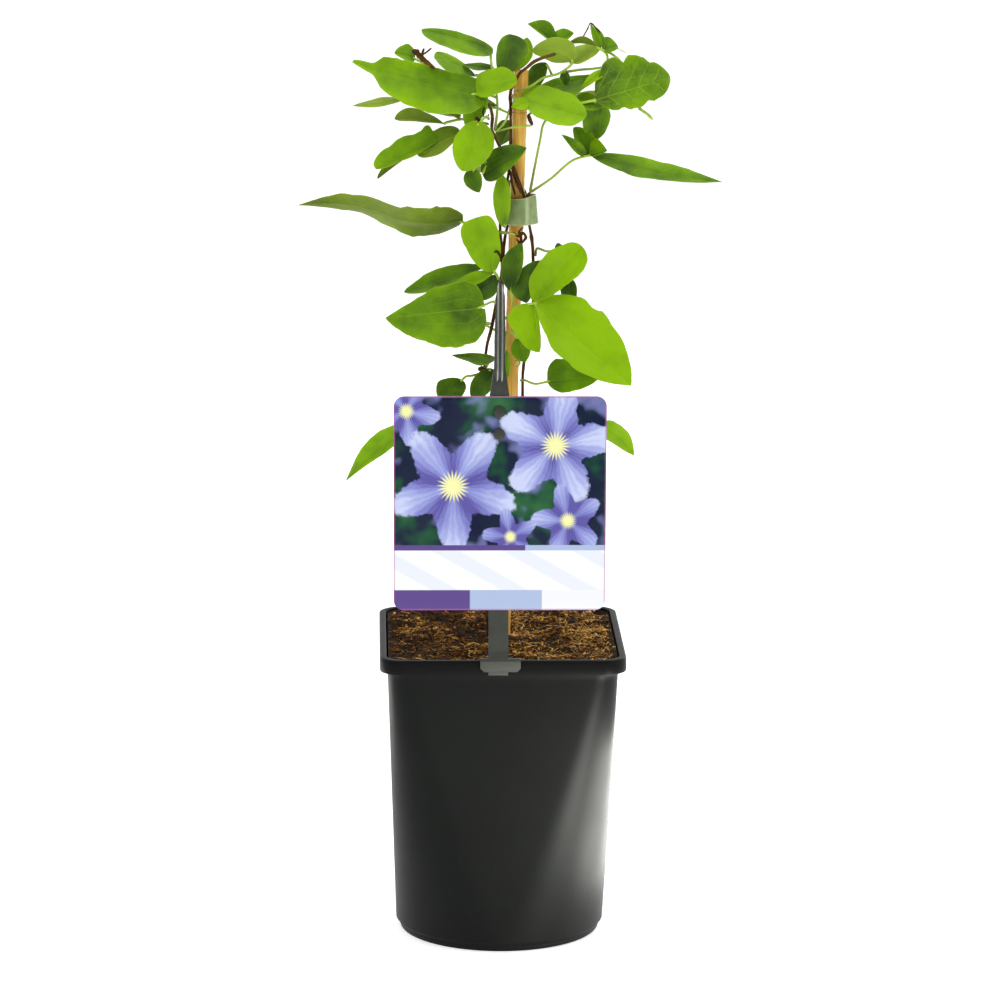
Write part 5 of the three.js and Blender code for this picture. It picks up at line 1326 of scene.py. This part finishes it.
label = {
    "left": -57.85, "low": 190, "width": 110.5, "height": 113.5, "face": (-67.45, -67.6),
    "picture": 0.306, "strip": 0.281, "foot": 0.095, "softEdge": 0.001,
    # centre across and up in shares of the card, size, turn, shade
    "blossoms": [(0.06, 0.93, 0.16, 0.2, 0.15), (0.28, 0.58, 0.3, 0.3, 0.3),
                 (0.76, 0.77, 0.28, 1.1, 0.45), (0.82, 0.42, 0.17, 0.7, 0.1),
                 (0.55, 0.345, 0.13, 2.0, 0.05)],
}


# The card's print. Across and up are shares of the card. A blossom is a disc whose reach
# swings with five times the angle, paler towards its petals' middles, with a cream eye.
def printRecipe(w):
    c = label
    x, y, z = w.split(w.place())
    across = (x - c["left"] * mm) / (c["width"] * mm)
    up = (z - c["low"] * mm) / (c["height"] * mm)
    above = lambda share: w.ramp(up, share - c["softEdge"], share + c["softEdge"])
    spot = w.join(across, up, 0)
    cloud = w.noise(spot, 3.2, 3, 0.55)
    ground = w.colours(cloud, (0.36, tint(14, 20, 52)), (0.5, tint(20, 34, 56)),
                       (0.56, tint(24, 72, 50)), (0.72, tint(56, 112, 66)))
    blot = w.ramp(w.noise(spot, 5.5, 2, 0.5), 0.54, 0.66, 0.75)
    ground = w.blend(blot, ground, tint(126, 132, 190))
    ruffle = w.noise(spot, 22, 3, 0.6) * 0.3 - 0.15
    for cx, cy, size, turn, shade in c["blossoms"]:
        dx, dy = across - cx, up - cy
        angle = w.calc("ARCTAN2", dy, dx)
        reach = w.calc("SQRT", dx * dx + dy * dy)
        swing = w.calc("COSINE", angle * 5 + turn * 5)
        petal = swing * 0.24 + 0.78 + ruffle
        core = reach / size
        fold = w.calc("SINE", angle * 41 + ruffle * 30)
        light = swing * 0.35 + (core * 0.5 + 0.15) + fold * 0.07 + (cloud * 0.9 + (shade - 0.75))
        face = w.colours(light, (0, tint(92, 86, 160)), (0.45, tint(132, 136, 202)),
                         (0.8, tint(166, 174, 222)), (1, tint(196, 204, 236)))
        rays = w.calc("SINE", angle * 22) * 0.05
        face = w.blend(w.ramp(core + rays, 0.24, 0.12), face, tint(236, 236, 170))
        ground = w.blend(w.ramp(reach / (petal * size), 1.04, 0.95), ground, face)
    # a white band with pale waves, and a row of plain colour fields at the foot
    wave = w.ramp(w.calc("SINE", across * 19 + up * 34), 0.1, 0.6, 0.4)
    field = w.blend(wave, tint(238, 240, 247), tint(204, 213, 234))
    purple, pale = tint(92, 72, 136), tint(168, 184, 216)
    strip = w.blend(w.ramp(across, 0.62, 0.621), purple, pale)
    foot = w.blend(w.ramp(across, 0.36, 0.361), purple, pale)
    foot = w.blend(w.ramp(across, 0.7, 0.701), foot, tint(232, 234, 242))
    colour = w.blend(above(c["strip"]), field, strip)
    colour = w.blend(1 - above(c["foot"]), colour, foot)
    colour = w.blend(above(c["picture"]), colour, ground)
    near = w.calc("MINIMUM", w.calc("MINIMUM", across, 1 - across),
                  w.calc("MINIMUM", up, 1 - up))
    colour = w.blend(w.ramp(near, 0.009, 0.004, 0.6), colour, tint(176, 96, 150))
    front = w.ramp(y, *[depth * mm for depth in c["face"]])
    colour = w.blend(front, tint(226, 226, 224), colour)
    return w.skin(colour, 0.3, 0.12, (w.noise(w.place(), 700, 2), 0.05, 0.0002))


# Dark grey-green plastic, soft and slightly scuffed, with a painted shadow in its slot and painted
# light on the paler part below it.
def stakeRecipe(w):
    place = w.place()
    height = w.split(place)[2]
    colour = w.colours(w.noise(place, 140, 4), (0.3, tint(34, 37, 30)), (0.7, tint(48, 51, 42)))
    # painted shadow: a dark band where the socket's recess lies in shade
    slot = w.ramp(height, 0.1615, 0.163) * w.ramp(height, 0.1685, 0.1665, 0.6)
    colour = w.blend(slot, colour, tint(14, 17, 12))
    # painted light: the clip's front below the slot is made paler, as if lit
    colour = w.blend(w.ramp(height, 0.1625, 0.1615, 0.35), colour, tint(92, 94, 84))
    rough = w.noise(place, 500, 3) * 0.25 + 0.32
    return w.skin(colour, rough, 0.4, (w.noise(place, 1500, 2), 0.1, 0.0002))


# Clear plastic, slightly milky, whose edges catch the light; its ribs are painted as dark and
# bright stripes, painted shade and painted highlights.
def tongueRecipe(w):
    place = w.place()
    # painted shade and highlight: the ribs are stripes of colour from dark to near white
    ribLightAndShade = w.calc("SINE", w.split(place)[0] * (2 * math.pi / 0.0023))
    ribLightAndShade = w.noise(w.stretch(place, 1, 1, 0.05), 500, 2) * 1.2 + ribLightAndShade
    colour = w.colours(ribLightAndShade * 0.4 + 0.3, (0.1, tint(46, 50, 36)), (0.6, tint(88, 92, 76)),
                       (0.95, tint(196, 200, 190)))
    return w.skin(colour, 0.2, 0.5, more={"IOR": 1.45, "Transmission Weight": 0.45})


cardPrint = newMaterial("labelPrint", printRecipe)
stakeSkin = newMaterial("stakePlastic", stakeRecipe)
tongueSkin = newMaterial("clearPlastic", tongueRecipe)
roundedCopy("label_card", "label_panel", 0.12, 2, cardPrint, "label")
roundedCopy("label_stake_strip", "label_stake", 0.25, 3, stakeSkin, "stake")
roundedCopy("stake_tongue_clear", "stake_tongue", 0.16, 3, tongueSkin, "tongue")
print("label and stake ready")

plain = lambda box: [[float(value) for value in corner] for corner in box]
{"cad": plain(cadBox), "visual": plain(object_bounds())}
